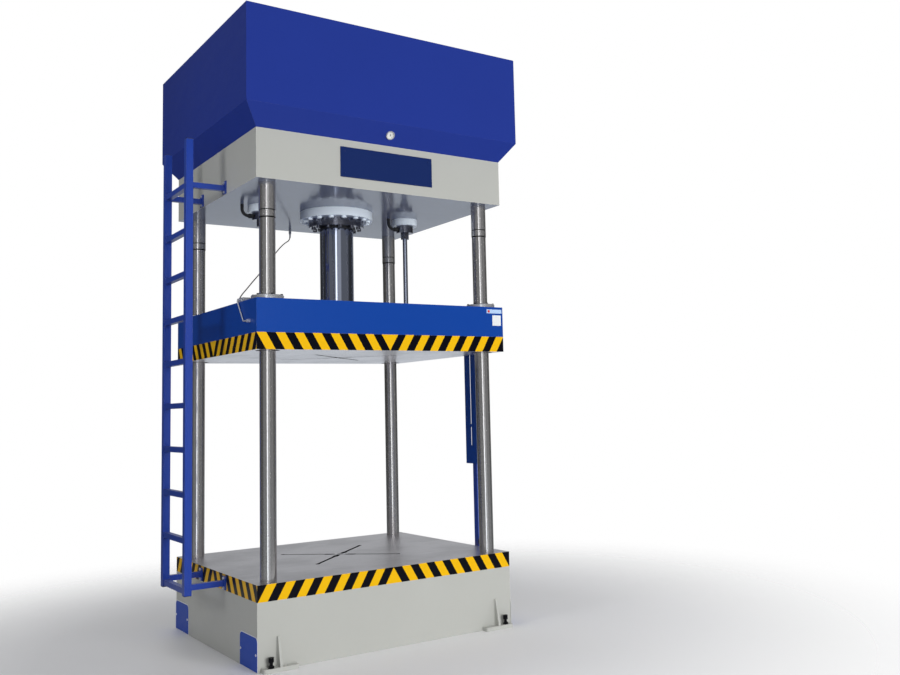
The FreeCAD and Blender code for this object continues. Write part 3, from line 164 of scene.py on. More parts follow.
class PressSizes(bpy.types.PropertyGroup):
    """Sizes of the small fittings and patterns."""

    stripe_pitch: length_prop("Stripe pitch", "One light and one dark stripe together", 0.120)
    stripe_lean: share_prop("Stripe lean", "Sideways run of a stripe for each unit of height", 0.571, 2.0)
    hose_bore: length_prop("Hose", "Diameter of the lubrication hose", 0.008)
    bead: length_prop("Weld bead", "Width of the weld beads", 0.008)
    plate_border: length_prop("Plate rim", "Width of the nameplate's raised rim", 0.006)
    seal_height: length_prop("Wiper seal", "Height of the wiper seals on the guide bushes", 0.007)


class StudioSettings(bpy.types.PropertyGroup):
    """Light and ground of the studio."""

    key: power_prop("Key light", "Power of the main softbox", 530)
    fill: power_prop("Fill light", "Power of the side and back softboxes", 150)
    side: power_prop("Side light", "Power of the softbox on the upper left", 23)
    top: power_prop("Top light", "Power of the softbox overhead", 80)
    sky: share_prop("Sky", "Strength of the soft light from all round", 0.28, 5.0)
    floor: colour_prop("Floor", "Colour of the floor", (0.84, 0.84, 0.85))


class Bench:
    """A node tree being filled, with short ways to add and join its nodes."""

    def __init__(self, tree):
        self.tree = tree

    def add(self, kind, choices=None, **feeds):
        node = self.tree.nodes.new("ShaderNode" + kind)
        for name, value in (choices or {}).items():
            setattr(node, name, value)
        for name, value in feeds.items():
            self.feed(node.inputs[name.replace("_", " ")], value)
        return node

    def feed(self, socket, value):
        if isinstance(value, bpy.types.NodeSocket):
            self.tree.links.new(value, socket)
        elif isinstance(value, (tuple, list)) and socket.type == "RGBA" and len(value) == 3:
            socket.default_value = (*value, 1)
        else:
            socket.default_value = value

    def maths(self, operation, *terms):
        node = self.add("Math", {"operation": operation})
        for socket, term in zip(node.inputs, terms):
            self.feed(socket, term)
        return node.outputs[0]

    def times(self, first, second):
        return self.maths("MULTIPLY", first, second)

    def madd(self, first, second, third):
        """first times second, plus third"""
        return self.maths("MULTIPLY_ADD", first, second, third)

    def less(self, first, second):
        return self.maths("SUBTRACT", first, second)

    def size(self, value):
        return self.maths("ABSOLUTE", value)

    def ramp(self, value, low, high, to_low=0.0, to_high=1.0):
        node = self.add("MapRange", {"interpolation_type": "SMOOTHSTEP"}, Value=value, From_Min=low,
                        From_Max=high, To_Min=to_low, To_Max=to_high)
        return node.outputs["Result"]

    def mix(self, mask, first, second):
        """Two colours, one showing through where the mask is 1."""
        node = self.add("Mix", {"data_type": "RGBA"})
        for number, value in ((0, mask), (6, first), (7, second)):
            self.feed(node.inputs[number], value)
        return node.outputs[2]

    def level(self, mask, first, second):
        """Two plain values, the second where the mask is 1."""
        node = self.add("Mix", {"data_type": "FLOAT"})
        for number, value in ((0, mask), (2, first), (3, second)):
            self.feed(node.inputs[number], value)
        return node.outputs[0]

    def both(self, mask, first, second):
        """Two shaders, the second where the mask is 1."""
        node = self.add("MixShader")
        for socket, value in zip(node.inputs, (mask, first, second)):
            self.feed(socket, value)
        return node.outputs[0]

    def surface(self, kind, shader):
        """Make a shader the tree's own surface."""
        self.feed(self.add(kind).inputs["Surface"], shader)

    def noise(self, place, scale, detail=2.0, roughness=0.5):
        node = self.add("TexNoise", Vector=place, Scale=scale, Detail=detail, Roughness=roughness)
        return node.outputs["Fac"]

    def stretch(self, place, scale):
        return self.add("Mapping", Vector=place, Scale=scale).outputs[0]

    def facing(self):
        return self.add("NewGeometry").outputs["Normal"]

    def pair(self, operation, first, second):
        """A vector operation on two vectors."""
        node = self.add("VectorMath", {"operation": operation})
        self.feed(node.inputs[0], first)
        self.feed(node.inputs[1], second)
        return node.outputs

    def place(self):
        return self.add("TexCoord").outputs["Object"]

    def apart(self, vector):
        node = self.add("SeparateXYZ", Vector=vector)
        return node.outputs[0], node.outputs[1], node.outputs[2]

    def use(self, name, **feeds):
        node = self.add("Group", {"node_tree": EFFECTS[name]}, **feeds)
        return node.outputs

    def bump(self, height, depth):
        return self.add("Bump", Height=height, Distance=depth, Strength=1.0).outputs[0]


def effect(name, inputs, outputs):
    """A new shader effect with named sockets: its bench, its inputs and its outputs."""
    tree = bpy.data.node_groups.new(name, "ShaderNodeTree")
    kinds = {"value": "NodeSocketFloat", "colour": "NodeSocketColor", "vector": "NodeSocketVector"}
    for label, kind, default in inputs:
        socket = tree.interface.new_socket(name=label, in_out="INPUT", socket_type=kinds[kind])
        if kind == "value":
            socket.default_value = default
    for label, kind in outputs:
        tree.interface.new_socket(name=label, in_out="OUTPUT", socket_type=kinds[kind])
    EFFECTS[name] = tree
    bench = Bench(tree)
    return bench, tree.nodes.new("NodeGroupInput").outputs, tree.nodes.new("NodeGroupOutput").inputs


def make_enamel_effect():
    """Sprayed enamel: slow drift of shade, fine specks and orange peel."""
    bench, given, out = effect(
        "Enamel skin",
        (("Place", "vector", None), ("Colour", "colour", None), ("Drift", "value", 0.05),
         ("Gloss", "value", 0.3)),
        (("Colour", "colour"), ("Roughness", "value"), ("Height", "value")),
    )
    slow = bench.noise(given["Place"], 1.3, 3.0, 0.55)
    fine = bench.noise(given["Place"], 34.0, 2.0, 0.6)
    shade = bench.maths("ADD", bench.times(bench.less(slow, 0.5), 1.6),
                        bench.times(bench.less(fine, 0.5), 0.35))
    shade = bench.madd(shade, given["Drift"], 1.0)
    tinted = bench.add("HueSaturation", Color=given["Colour"], Value=shade)
    bench.feed(out["Colour"], tinted.outputs[0])
    smear = bench.noise(bench.stretch(given["Place"], (2.0, 2.0, 5.0)), 2.2, 4.0, 0.62)
    rough = bench.madd(bench.less(smear, 0.5), 0.16, given["Gloss"])
    bench.feed(out["Roughness"], rough)
    peel = bench.noise(given["Place"], 260.0, 1.0, 0.4)
    wave = bench.noise(given["Place"], 5.5, 1.0, 0.4)
    bench.feed(out["Height"], bench.madd(wave, 3.5, bench.times(peel, 0.28)))


def make_edge_effect():
    """Mask of outer edges, broken up by a grain: for worn edges, and for painted highlights along the edges."""
    bench, given, out = effect(
        "Edge wear",
        (("Place", "vector", None), ("Width", "value", 0.003), ("Grain", "value", 40.0)),
        (("Mask", "value"),),
    )
    rounded = bench.add("Bevel", {"samples": 4}, Radius=given["Width"]).outputs[0]
    edge = bench.ramp(bench.pair("DOT_PRODUCT", rounded, bench.facing())["Value"], 0.995, 0.86)
    broken = bench.ramp(bench.noise(given["Place"], given["Grain"], 4.0, 0.65), 0.42, 0.66)
    bench.feed(out["Mask"], bench.times(edge, broken))


def make_grain_effect():
    """Fine ground or turned lines along one way, with soft stains."""
    bench, given, out = effect(
        "Ground lines",
        (("Place", "vector", None), ("Across", "vector", None), ("Stain scale", "value", 3.0)),
        (("Lines", "value"), ("Stains", "value"), ("Height", "value")),
    )
    lines = bench.noise(bench.pair("MULTIPLY", given["Place"], given["Across"])[0], 1.0, 3.0, 0.7)
    bench.feed(out["Lines"], lines)
    bench.feed(out["Stains"], bench.noise(given["Place"], given["Stain scale"], 5.0, 0.6))
    bench.feed(out["Height"], lines)


def make_stripe_effect():
    """Warning stripes round the sides of a plate, mirrored about the middle of each side, and a mask of painted
    shade for the sunk slots and holes in its faces.
    """
    bench, given, out = effect(
        "Warning stripes",
        (("Place", "vector", None), ("Half width", "value", 0.9), ("Half depth", "value", 0.8),
         ("Start height", "value", 0.5), ("Pitch", "value", 0.12), ("Lean", "value", 0.57)),
        (("Light", "value"), ("Side", "value"), ("Inside", "value")),
    )
    x, y, z = bench.apart(given["Place"])
    wide, deep = bench.size(x), bench.size(y)
    on_end = bench.maths("GREATER_THAN", wide, bench.less(given["Half width"], 0.0005))
    on_front = bench.maths("GREATER_THAN", deep, bench.less(given["Half depth"], 0.0005))
    normal = bench.apart(bench.facing())
    upright = bench.maths("LESS_THAN", bench.size(normal[2]), 0.5)
    outer = bench.maths("MAXIMUM", on_end, on_front)
    bench.feed(out["Side"], bench.times(outer, upright))
    facing_end = bench.maths("GREATER_THAN", bench.size(normal[0]), 0.7)
    along = bench.level(facing_end, wide, deep)
    rise = bench.size(bench.less(z, given["Start height"]))
    run = bench.less(along, bench.times(rise, given["Lean"]))
    turn = bench.maths("FRACT", bench.maths("DIVIDE", run, given["Pitch"]))
    light = bench.maths("MAXIMUM", bench.maths("LESS_THAN", run, 0.0), bench.maths("GREATER_THAN", turn, 0.5))
    bench.feed(out["Light"], light)
    # Painted shade: faces sunk below the plate's working face, away from its outer sides.
    sunk = bench.ramp(rise, 0.0003, 0.0014)
    bench.feed(out["Inside"], bench.times(sunk, bench.less(1.0, outer)))


def make_groove_effect():
    """Mask of painted shade in the turned grooves and along the lower ends of the sleeves."""
    bench, given, out = effect(
        "Groove shade",
        (("Place", "vector", None), ("Axis X", "value", 0.8), ("Axis Y", "value", 0.7),
         ("Groove radius", "value", 0.05), ("Low end", "value", 2.7)),
        (("Mask", "value"),),
    )
    x, y, z = bench.apart(given["Place"])
    across = bench.less(bench.size(x), given["Axis X"])
    along = bench.less(bench.size(y), given["Axis Y"])
    radius = bench.maths("SQRT", bench.maths("ADD", bench.times(across, across),
                                             bench.times(along, along)))
    groove = bench.maths("LESS_THAN", radius, given["Groove radius"])
    foot = bench.ramp(bench.less(z, given["Low end"]), 0.010, 0.006)
    bench.feed(out["Mask"], bench.maths("MAXIMUM", groove, foot))


def make_dust_effect():
    """Mask of thin dust that lies on faces turned upwards."""
    bench, given, out = effect(
        "Settled dust",
        (("Place", "vector", None), ("Amount", "value", 0.3)),
        (("Mask", "value"),),
    )
    up = bench.apart(bench.facing())[2]
    cloud = bench.ramp(bench.noise(given["Place"], 4.0, 5.0, 0.6), 0.3, 0.75)
    lying = bench.times(bench.ramp(up, 0.6, 1.0), cloud)
    bench.feed(out["Mask"], bench.times(lying, given["Amount"]))


def material(name):
    """A new material, kept under its name: its bench and its shader's sockets."""
    made = bpy.data.materials.new(name.replace(" ", "_"))
    made.use_nodes = True
    made.node_tree.nodes.clear()
    bench = Bench(made.node_tree)
    shader = bench.add("BsdfPrincipled")
    bench.surface("OutputMaterial", shader.outputs[0])
    FINISHES[name] = made
    return bench, shader.inputs


def enamel(name, colour, gloss=0.3, drift=0.06, coat=0.25, edge_wear_and_highlight=0.35, dust=0.25, shine=0.5,
           edge=0.003, under=None):
    """Sprayed enamel with pale edges, partly worn paint and partly a painted highlight, and dust on top; under
    is the colour of a smooth lower face.
    """
    bench, pins = material(name)
    place = bench.place()
    skin = bench.use("Enamel skin", Place=place, Colour=tuple(colour), Drift=drift, Gloss=gloss)
    below = None
    if under:
        down = bench.apart(bench.facing())[2]
        below = bench.ramp(down, -0.8, -0.95)
        bench.feed(skin["Colour"].node.inputs["Colour"], bench.mix(below, tuple(colour), under))
    edge_wear_and_highlight_mask = bench.use("Edge wear", Place=place, Width=edge)["Mask"]
    dusty = bench.use("Settled dust", Place=place, Amount=dust)["Mask"]
    # Pale edge tone: partly worn paint, partly a painted highlight where the edges catch the light.
    pale = tuple(0.55 * c + 0.30 for c in colour)
    top = bench.mix(bench.times(edge_wear_and_highlight_mask, edge_wear_and_highlight), skin["Colour"], pale)
    bench.feed(pins["Base Color"], bench.mix(dusty, top, (0.42, 0.40, 0.37)))
    rough = bench.madd(dusty, 0.4, skin["Roughness"])
    if under:
        rough = bench.madd(below, -0.24, rough)
    bench.feed(pins["Roughness"], rough)
    pins["Specular IOR Level"].default_value = shine
    pins["Coat Weight"].default_value = coat
    pins["Coat Roughness"].default_value = 0.12
    bench.feed(pins["Normal"], bench.bump(skin["Height"], 0.0004))


def metal(name, colour, gloss, across, spread=0.12, depth=0.00003, stain=0.25, stain_scale=3.0, lined=0.25,
          bare=1.0, edge_wear_and_highlight=0.3):
    """Bare metal with fine lines; across gives how closely they lie along each axis."""
    bench, pins = material(name)
    place = bench.place()
    grain = bench.use("Ground lines", Place=place, Across=across, Stain_scale=stain_scale)
    dark = tuple(0.62 * c for c in colour)
    shade = bench.times(bench.ramp(grain["Stains"], 0.42, 0.72), stain)
    tone = bench.mix(shade, tuple(colour), dark)
    tone = bench.mix(bench.ramp(grain["Lines"], 0.3, 0.7, 0.0, lined), tone, dark)
    if edge_wear_and_highlight:
        edge_wear_and_highlight_mask = bench.use("Edge wear", Place=place, Width=0.0015)["Mask"]
        tone = bench.mix(bench.times(edge_wear_and_highlight_mask, edge_wear_and_highlight), tone, (0.9, 0.9, 0.9))
    bench.feed(pins["Base Color"], tone)
    rough = bench.madd(bench.less(grain["Lines"], 0.5), spread, gloss)
    bench.feed(pins["Roughness"], bench.madd(shade, 0.2, rough))
    pins["Metallic"].default_value = bare
    bench.feed(pins["Normal"], bench.bump(grain["Height"], depth))


def sleeve_steel(name, colour):
    """Turned sleeves under the crown, with near-black painted shade in their grooves and along their lower
    ends.
    """
    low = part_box("column_sleeves")[0]
    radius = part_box("column_front_left")[1].x - middle("column_front_left").x
    metal(name, colour, 0.22, (1, 1, 90), 0.04, 0.0000005, 0.25, 5.0, lined=0.08, bare=0.94, edge_wear_and_highlight=0.0)
    tree = FINISHES[name].node_tree
    bench = Bench(tree)
    pins = next(n for n in tree.nodes if n.type == "BSDF_PRINCIPLED").inputs
    axis = middle("column_back_right")
    shade = bench.use("Groove shade", Place=bench.place(), Axis_X=axis.x, Axis_Y=axis.y,
                      Groove_radius=radius + 0.0018, Low_end=low.z)["Mask"]
    ground = pins["Base Color"].links[0].from_socket
    # Near-black painted shade in the grooves and along the sleeves' lower ends.
    bench.feed(pins["Base Color"], bench.mix(shade, ground, (0.006, 0.006, 0.008)))


def striped_steel(name, node, start_high, across, colours, sizes, gloss, painted_light_gain=1.0):
    """Ground plate whose sides carry warning stripes; the last argument scales the ground steel's colour up as
    painted light.
    """
    low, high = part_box(node)
    bench, pins = material(name)
    place = bench.place()
    stripes = bench.use("Warning stripes", Place=place, Half_width=high.x, Half_depth=high.y,
                        Start_height=high.z if start_high else low.z, Pitch=sizes.stripe_pitch,
                        Lean=sizes.stripe_lean)
    grain = bench.use("Ground lines", Place=place, Across=across, Stain_scale=2.4)
    ground = tuple(painted_light_gain * c for c in colours.ground)
    stained = bench.ramp(grain["Stains"], 0.38, 0.7, 0.0, 0.55)
    steel = bench.mix(stained, ground, tuple(0.55 * c for c in ground))
    steel = bench.mix(bench.ramp(grain["Lines"], 0.3, 0.7, 0.0, 0.35), steel, tuple(0.5 * c for c in ground))
    # Near-black painted shade inside the slots and holes.
    steel = bench.mix(stripes["Inside"], steel, (0.004, 0.004, 0.005))
    stripe = bench.mix(stripes["Light"], tuple(colours.stripe_black), tuple(colours.stripe_yellow))
    skin = bench.use("Enamel skin", Place=place, Colour=stripe, Drift=0.08, Gloss=0.34)
    edge_wear_and_highlight_mask = bench.use("Edge wear", Place=place, Width=0.004, Grain=26.0)["Mask"]
    painted = bench.times(stripes["Side"], bench.less(1.0, bench.times(edge_wear_and_highlight_mask, 0.3)))
    pins["Specular IOR Level"].default_value = 0.18
    bench.feed(pins["Base Color"], bench.mix(painted, steel, skin["Colour"]))
    bench.feed(pins["Metallic"], bench.less(1.0, painted))
    steel_rough = bench.madd(bench.less(grain["Lines"], 0.5), 0.25, gloss)
    bench.feed(pins["Roughness"], bench.level(painted, steel_rough, skin["Roughness"]))
    height = bench.level(painted, bench.times(grain["Height"], 0.12), skin["Height"])
    bench.feed(pins["Normal"], bench.bump(height, 0.0003))


def moulded(name, colour, gloss, grain_scale=700.0, depth=0.00005, edge_wear_and_highlight=0.1):
    """Rubber or moulded plastic with a fine pebbled skin."""
    bench, pins = material(name)
    place = bench.place()
    pebble = bench.noise(place, grain_scale, 2.0, 0.5)
    bloom = bench.ramp(bench.noise(place, 18.0, 4.0, 0.6), 0.4, 0.75)
    pale = tuple(0.6 * c + 0.06 for c in colour)
    tone = bench.mix(bench.times(bloom, 0.35), tuple(colour), pale)
    edge_wear_and_highlight_mask = bench.use("Edge wear", Place=place, Width=0.0012, Grain=90.0)["Mask"]
    bench.feed(pins["Base Color"], bench.mix(bench.times(edge_wear_and_highlight_mask, edge_wear_and_highlight), tone, (0.4, 0.4, 0.4)))
    bench.feed(pins["Roughness"], bench.madd(bloom, 0.12, gloss))
    bench.feed(pins["Normal"], bench.bump(pebble, depth))


def clear_glass(name):
    """Gauge glass with a breath of haze."""
    bench, pins = material(name)
    haze = bench.noise(bench.place(), 120.0, 3.0, 0.6)
    pins["Base Color"].default_value = (0.97, 0.98, 0.99, 1)
    pins["IOR"].default_value = 1.45
    bench.feed(pins["Roughness"], bench.ramp(haze, 0.3, 0.8, 0.0, 0.06))
    bench.feed(pins["Alpha"], bench.ramp(haze, 0.3, 0.8, 0.06, 0.10))


CAD_FINISHES = {
    "hood enamel": ("hood_shell",),
    "slide enamel": ("slide_frame", "cam_plate"),
    "ladder enamel": ("ladder_post_front", "ladder_post_back", "ladder_rungs", "ladder_brackets",
                      "switch_post"),
    "cover enamel": ("access_covers",),
    "body enamel": ("bed_frame", "levelling_feet"),
    "crown enamel": ("crown_frame",),
    "flange enamel": ("main_cylinder", "cylinder_screws", "return_cylinder_left", "return_cylinder_right",
                      "prefill_valve"),
    "tank enamel": ("oil_tank", "motor_housing", "motor_fan_cowl", "bell_housing"),
    "table steel": ("bed_table",),
    "slide plate steel": ("slide_plate",),
    "column chrome": ("column_front_left", "column_front_right", "column_back_left", "column_back_right"),
    "rod chrome": ("main_ram", "return_rod_left", "return_rod_right"),
    "sleeve steel": ("column_sleeves",),
    "turned steel": ("guide_bushes",),
    "zinc": ("crown_fitting", "lube_line", "tank_breather"),
    # The cover screws take white enamel as a painted highlight on their metal heads.
    "label white": ("cover_screws",),
    "gland steel": ("main_gland", "gland_screws", "return_glands", "return_gland_nuts"),
    "blackened steel": ("column_nuts_lower", "column_nuts_upper", "levelling_bolts", "bush_screws",
                        "cam_blocks"),
    "black rubber": ("return_hose_left", "return_hose_right", "ram_wiper"),
    "hose rubber": ("lube_hose",),
    "bare iron": ("pump", "valve_block"),
    "drawn steel": ("pressure_pipe", "motor_shaft"),
    "black plastic": ("solenoid_valves", "proximity_switches"),
    "plate enamel": ("nameplate",),
    "bezel chrome": ("gauge_case",),
    "dial white": ("gauge_dial",),
    "needle lacquer": ("gauge_needle",),
    "gauge glass": ("gauge_glass",),
}


class PRESS_OT_finishes(bpy.types.Operator):
    """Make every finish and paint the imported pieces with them"""

    bl_idname = "press.finishes"
    bl_label = "Finishes"

    def execute(self, context):
        colours = context.scene.press_colours
        sizes = context.scene.press_sizes
        for make in (make_enamel_effect, make_edge_effect, make_grain_effect, make_stripe_effect,
                     make_groove_effect, make_dust_effect):
            make()
        enamel("hood enamel", colours.hood, gloss=0.42, coat=0.0, shine=0.3)
        enamel("slide enamel", colours.slide, gloss=0.36, coat=0.0, shine=0.35)
        enamel("ladder enamel", colours.ladder, gloss=0.36, coat=0.1, edge_wear_and_highlight=0.4)
        enamel("cover enamel", colours.covers, gloss=0.45, coat=0.0, edge_wear_and_highlight=0.1, dust=0.0, shine=0.2)
        # The bed and the crown get wide, strong pale edges: a painted highlight along their edges and corners.
        enamel("body enamel", colours.body_grey, gloss=0.38, coat=0.1, edge_wear_and_highlight=0.8, edge=0.008)
        enamel("crown enamel", colours.body_grey, gloss=0.38, coat=0.1, edge_wear_and_highlight=1.3, edge=0.010,
               under=tuple(colours.crown_under))
        enamel("flange enamel", colours.flange_white, gloss=0.30, coat=0.2, edge_wear_and_highlight=0.1, drift=0.02)
        enamel("tank enamel", colours.tank_grey)
        enamel("plate enamel", colours.plate_navy, gloss=0.38, drift=0.03, coat=0.0, edge_wear_and_highlight=0.1, dust=0.0,
               shine=0.3)
        for name, colour, gloss in (
            ("label blue", (178, 204, 238), 0.45), ("label white", (226, 228, 230), 0.45),
            ("signal red", (205, 38, 30), 0.3),
        ):
            enamel(name, paint(*colour), gloss=gloss, drift=0.02, edge_wear_and_highlight=0.0, dust=0.0)
        striped_steel("table steel", "bed_table", True, (3, 420, 420), colours, sizes, 0.36)
        # The slide plate's steel is drawn 1.3 times brighter than the table's: painted light for the floor's
        # reflection in its underside.
        striped_steel("slide plate steel", "slide_plate", False, (420, 3, 420), colours, sizes, 0.30, 1.3)
        metal("column chrome", colours.column, 0.17, (1, 1, 60), 0.02, 0.0000002, 0.06, lined=0.04, bare=0.94,
              edge_wear_and_highlight=0.0)
        sleeve_steel("sleeve steel", colours.column)
        metal("rod chrome", colours.chrome, 0.10, (1, 1, 60), 0.02, 0.0000002, 0.08, lined=0.04, edge_wear_and_highlight=0.0)
        metal("turned steel", colours.turned, 0.26, (8, 8, 900), bare=0.75)
        metal("gland steel", colours.gland, 0.24, (1, 1, 90), 0.03, 0.0000003, 0.15, lined=0.03,
              edge_wear_and_highlight=0.0)
        metal("zinc", paint(228, 230, 234), 0.34, (300, 300, 300), stain=0.2, stain_scale=40.0, bare=0.6)
        metal("drawn steel", paint(190, 190, 194), 0.28, (6, 500, 500))
        metal("bare iron", paint(112, 112, 116), 0.52, (150, 150, 150), stain=0.5, stain_scale=9.0)
        metal("blackened steel", colours.blackened, 0.40, (200, 200, 200), stain=0.3, stain_scale=20.0)
        metal("bezel chrome", paint(232, 233, 236), 0.16, (300, 300, 300), depth=0.000004, bare=0.6)
        moulded("black rubber", (0.018, 0.018, 0.02), 0.55)
        moulded("hose rubber", (0.16, 0.14, 0.125), 0.42, depth=0.00003)
        moulded("black plastic", (0.022, 0.022, 0.026), 0.42, grain_scale=1400.0)
        moulded("dial white", paint(238, 238, 234), 0.5, grain_scale=2000.0, depth=0.00001, edge_wear_and_highlight=0.0)
        moulded("needle lacquer", (0.012, 0.012, 0.014), 0.3, grain_scale=2000.0, depth=0.00001)
        clear_glass("gauge glass")
        painted = [name for names in CAD_FINISHES.values() for name in names]
        if sorted(painted) != sorted(frame["nodes"]):
            raise RuntimeError(f"pieces without one finish: {set(painted) ^ set(frame['nodes'])}")
        for finish, names in CAD_FINISHES.items():
            for name in names:
                slots = frame["nodes"][name].data.materials
                slots.clear()
                slots.append(FINISHES[finish])
        return {"FINISHED"}


def soften(bm, edges, width, segments=2):
    """Round or chamfer edges."""
    return bmesh.ops.bevel(bm, geom=edges, affect="EDGES", offset=width, segments=segments, profile=0.5,
                           material=-1)


def block(bm, low, high, edge=0.0):
    """Add a block between two corners, with rounded edges."""
    low, high = Vector(low), Vector(high)
    size = Matrix.Diagonal((*(high - low), 1))
    made = bmesh.ops.create_cube(bm, size=1.0, matrix=Matrix.Translation((low + high) / 2) @ size)
    if edge:
        edges = list({e for v in made["verts"] for e in v.link_edges})
        soften(bm, edges, edge)


def facing(place, outward):
    """Matrix that puts a shape made about +Z at a place, facing outward."""
    return Matrix.Translation(Vector(place)) @ Vector(outward).to_track_quat("Z", "Y").to_matrix().to_4x4()


def lathe(bm, profile, matrix, steps=32, closed=False):
    """Add a turned shape from (radius, height) points about +Z, put in place by a matrix."""
    verts = [bm.verts.new((r, 0, z)) for r, z in profile]
    edges = [bm.edges.new(pair) for pair in zip(verts, verts[1:])]
    if closed:
        edges.append(bm.edges.new((verts[-1], verts[0])))
    bmesh.ops.spin(bm, geom=verts + edges, cent=(0, 0, 0), axis=(0, 0, 1), angle=2 * math.pi, steps=steps,
                   use_merge=True)
    shape = {v for v in verts if v.is_valid}
    frontier = list(shape)
    while frontier:
        for edge in frontier.pop().link_edges:
            for vert in edge.verts:
                if vert not in shape:
                    shape.add(vert)
                    frontier.append(vert)
    bmesh.ops.remove_doubles(bm, verts=list(shape), dist=0.000002)
    shape = [v for v in shape if v.is_valid]
    faces = list({f for v in shape for f in v.link_faces})
    bmesh.ops.recalc_face_normals(bm, faces=faces)
    bmesh.ops.transform(bm, matrix=matrix, verts=shape)


def prism(bm, corners, height, matrix, edge=0.0):
    """Add a nut-like prism with its outer face chamfered, made about +Z."""
    radius, count = corners
    made = bmesh.ops.create_circle(bm, cap_ends=True, segments=count, radius=radius, matrix=Matrix.Identity(4))
    faces = list({f for v in made["verts"] for f in v.link_faces})
    grown = bmesh.ops.extrude_face_region(bm, geom=faces)
    top = [g for g in grown["geom"] if isinstance(g, bmesh.types.BMVert)]
    bmesh.ops.translate(bm, vec=(0, 0, height), verts=top)
    if edge:
        rim = [e for e in {e for v in top for e in v.link_edges} if all(v in top for v in e.verts)]
        top = soften(bm, rim, edge, 1)["verts"]
    shape = list({v for f in {f for v in list(made["verts"]) + list(top) if v.is_valid for f in v.link_faces}
                  for v in f.verts})
    bmesh.ops.recalc_face_normals(bm, faces=list({f for v in shape for f in v.link_faces}))
    bmesh.ops.transform(bm, matrix=matrix, verts=shape)


def bolt_head(bm, spot, outward):
    """Add a small hexagon head."""
    prism(bm, (0.0085, 6), 0.0065, facing(spot, outward), 0.001)


def weld_bar(bm, radius, length, matrix):
    """Add a straight weld bead, made along +Z."""
    bmesh.ops.create_cone(bm, cap_ends=True, segments=12, radius1=radius, radius2=radius, depth=length,
                          matrix=matrix)


def put(name, data):
    """A new object in the scene, at the origin."""
    made = bpy.data.objects.new(name, data)
    bpy.context.scene.collection.objects.link(made)
    return made


def bake(name, bm, finish):
    """A mesh from its working copy, smooth and with one finish."""
    mesh = bpy.data.meshes.new(name)
    bm.to_mesh(mesh)
    bm.free()
    mesh.materials.append(finish)
    mesh.shade_smooth()
    return mesh


def settle(name, bm, finish, body, angle=35):
    """A finished piece from its mesh: shading, finish and the body it rides on."""
    mesh = bake(name, bm, FINISHES[finish])
    mesh.set_sharp_from_angle(angle=math.radians(angle))
    piece = put(name, mesh)
    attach(piece, body)
    return piece


def middle(node):
    """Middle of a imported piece's box."""
    low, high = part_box(node)
    return (low + high) / 2


def column_axes():
    """Upright axes of the four columns."""
    places = []
    for name in ("front_left", "front_right", "back_left", "back_right"):
        centre = middle("column_" + name)
        places.append((centre.x, centre.y))
    return places


class PRESS_OT_hose(bpy.types.Operator):
    """Lay the lubrication hose from the slide up to the crown, with its ferrules"""

    bl_idname = "press.hose"
    bl_label = "Lubrication hose"

    def execute(self, context):
        radius = context.scene.press_sizes.hose_bore / 2
        curve = bpy.data.curves.new("hose_line", "CURVE")
        curve.dimensions = "3D"
        curve.resolution_u = 6
        spline = curve.splines.new("NURBS")
        spline.points.add(len(HOSE_ROUTE) - 1)
        for point, place in zip(spline.points, HOSE_ROUTE):
            point.co = (*place, 1)
        spline.order_u = 3
        spline.use_endpoint_u = True
        line = bpy.data.objects.new("hose_line", curve)
        centre = bpy.data.meshes.new_from_object(line)
        path = [tuple(v.co) for v in centre.vertices]
        curve.bevel_depth = radius
        curve.bevel_resolution = 4
        curve.use_fill_caps = True
        tube = bpy.data.meshes.new_from_object(line)
        bm = bmesh.new()
        bm.from_mesh(tube)
        bmesh.ops.remove_doubles(bm, verts=bm.verts, dist=0.00001)
        bmesh.ops.recalc_face_normals(bm, faces=bm.faces)
        hose = put("lubrication_hose", bake("lubrication_hose", bm, FINISHES["hose rubber"]))
        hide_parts("lube_hose")
        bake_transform(hose)

        for name, place, ahead, body in (
            ("hose_ferrule_slide", path[0], path[1], "slide"),
            ("hose_ferrule_crown", path[-1], path[-2], "press_frame"),
        ):
            bm = bmesh.new()
            outward = Vector(ahead) - Vector(place)
            r = radius + 0.0002
            lathe(bm, ((r, 0), (0.0075, 0), (0.0075, 0.01), (0.0062, 0.0115), (0.0062, 0.02), (0.0068, 0.0205),
                       (0.0068, 0.0225), (0.0062, 0.023), (0.0062, 0.03), (0.0054, 0.032), (r, 0.032)),
                  facing(place, outward), 24, closed=True)
            settle(name, bm, "zinc", body)
        bpy.data.objects.remove(line)
        return {"FINISHED"}


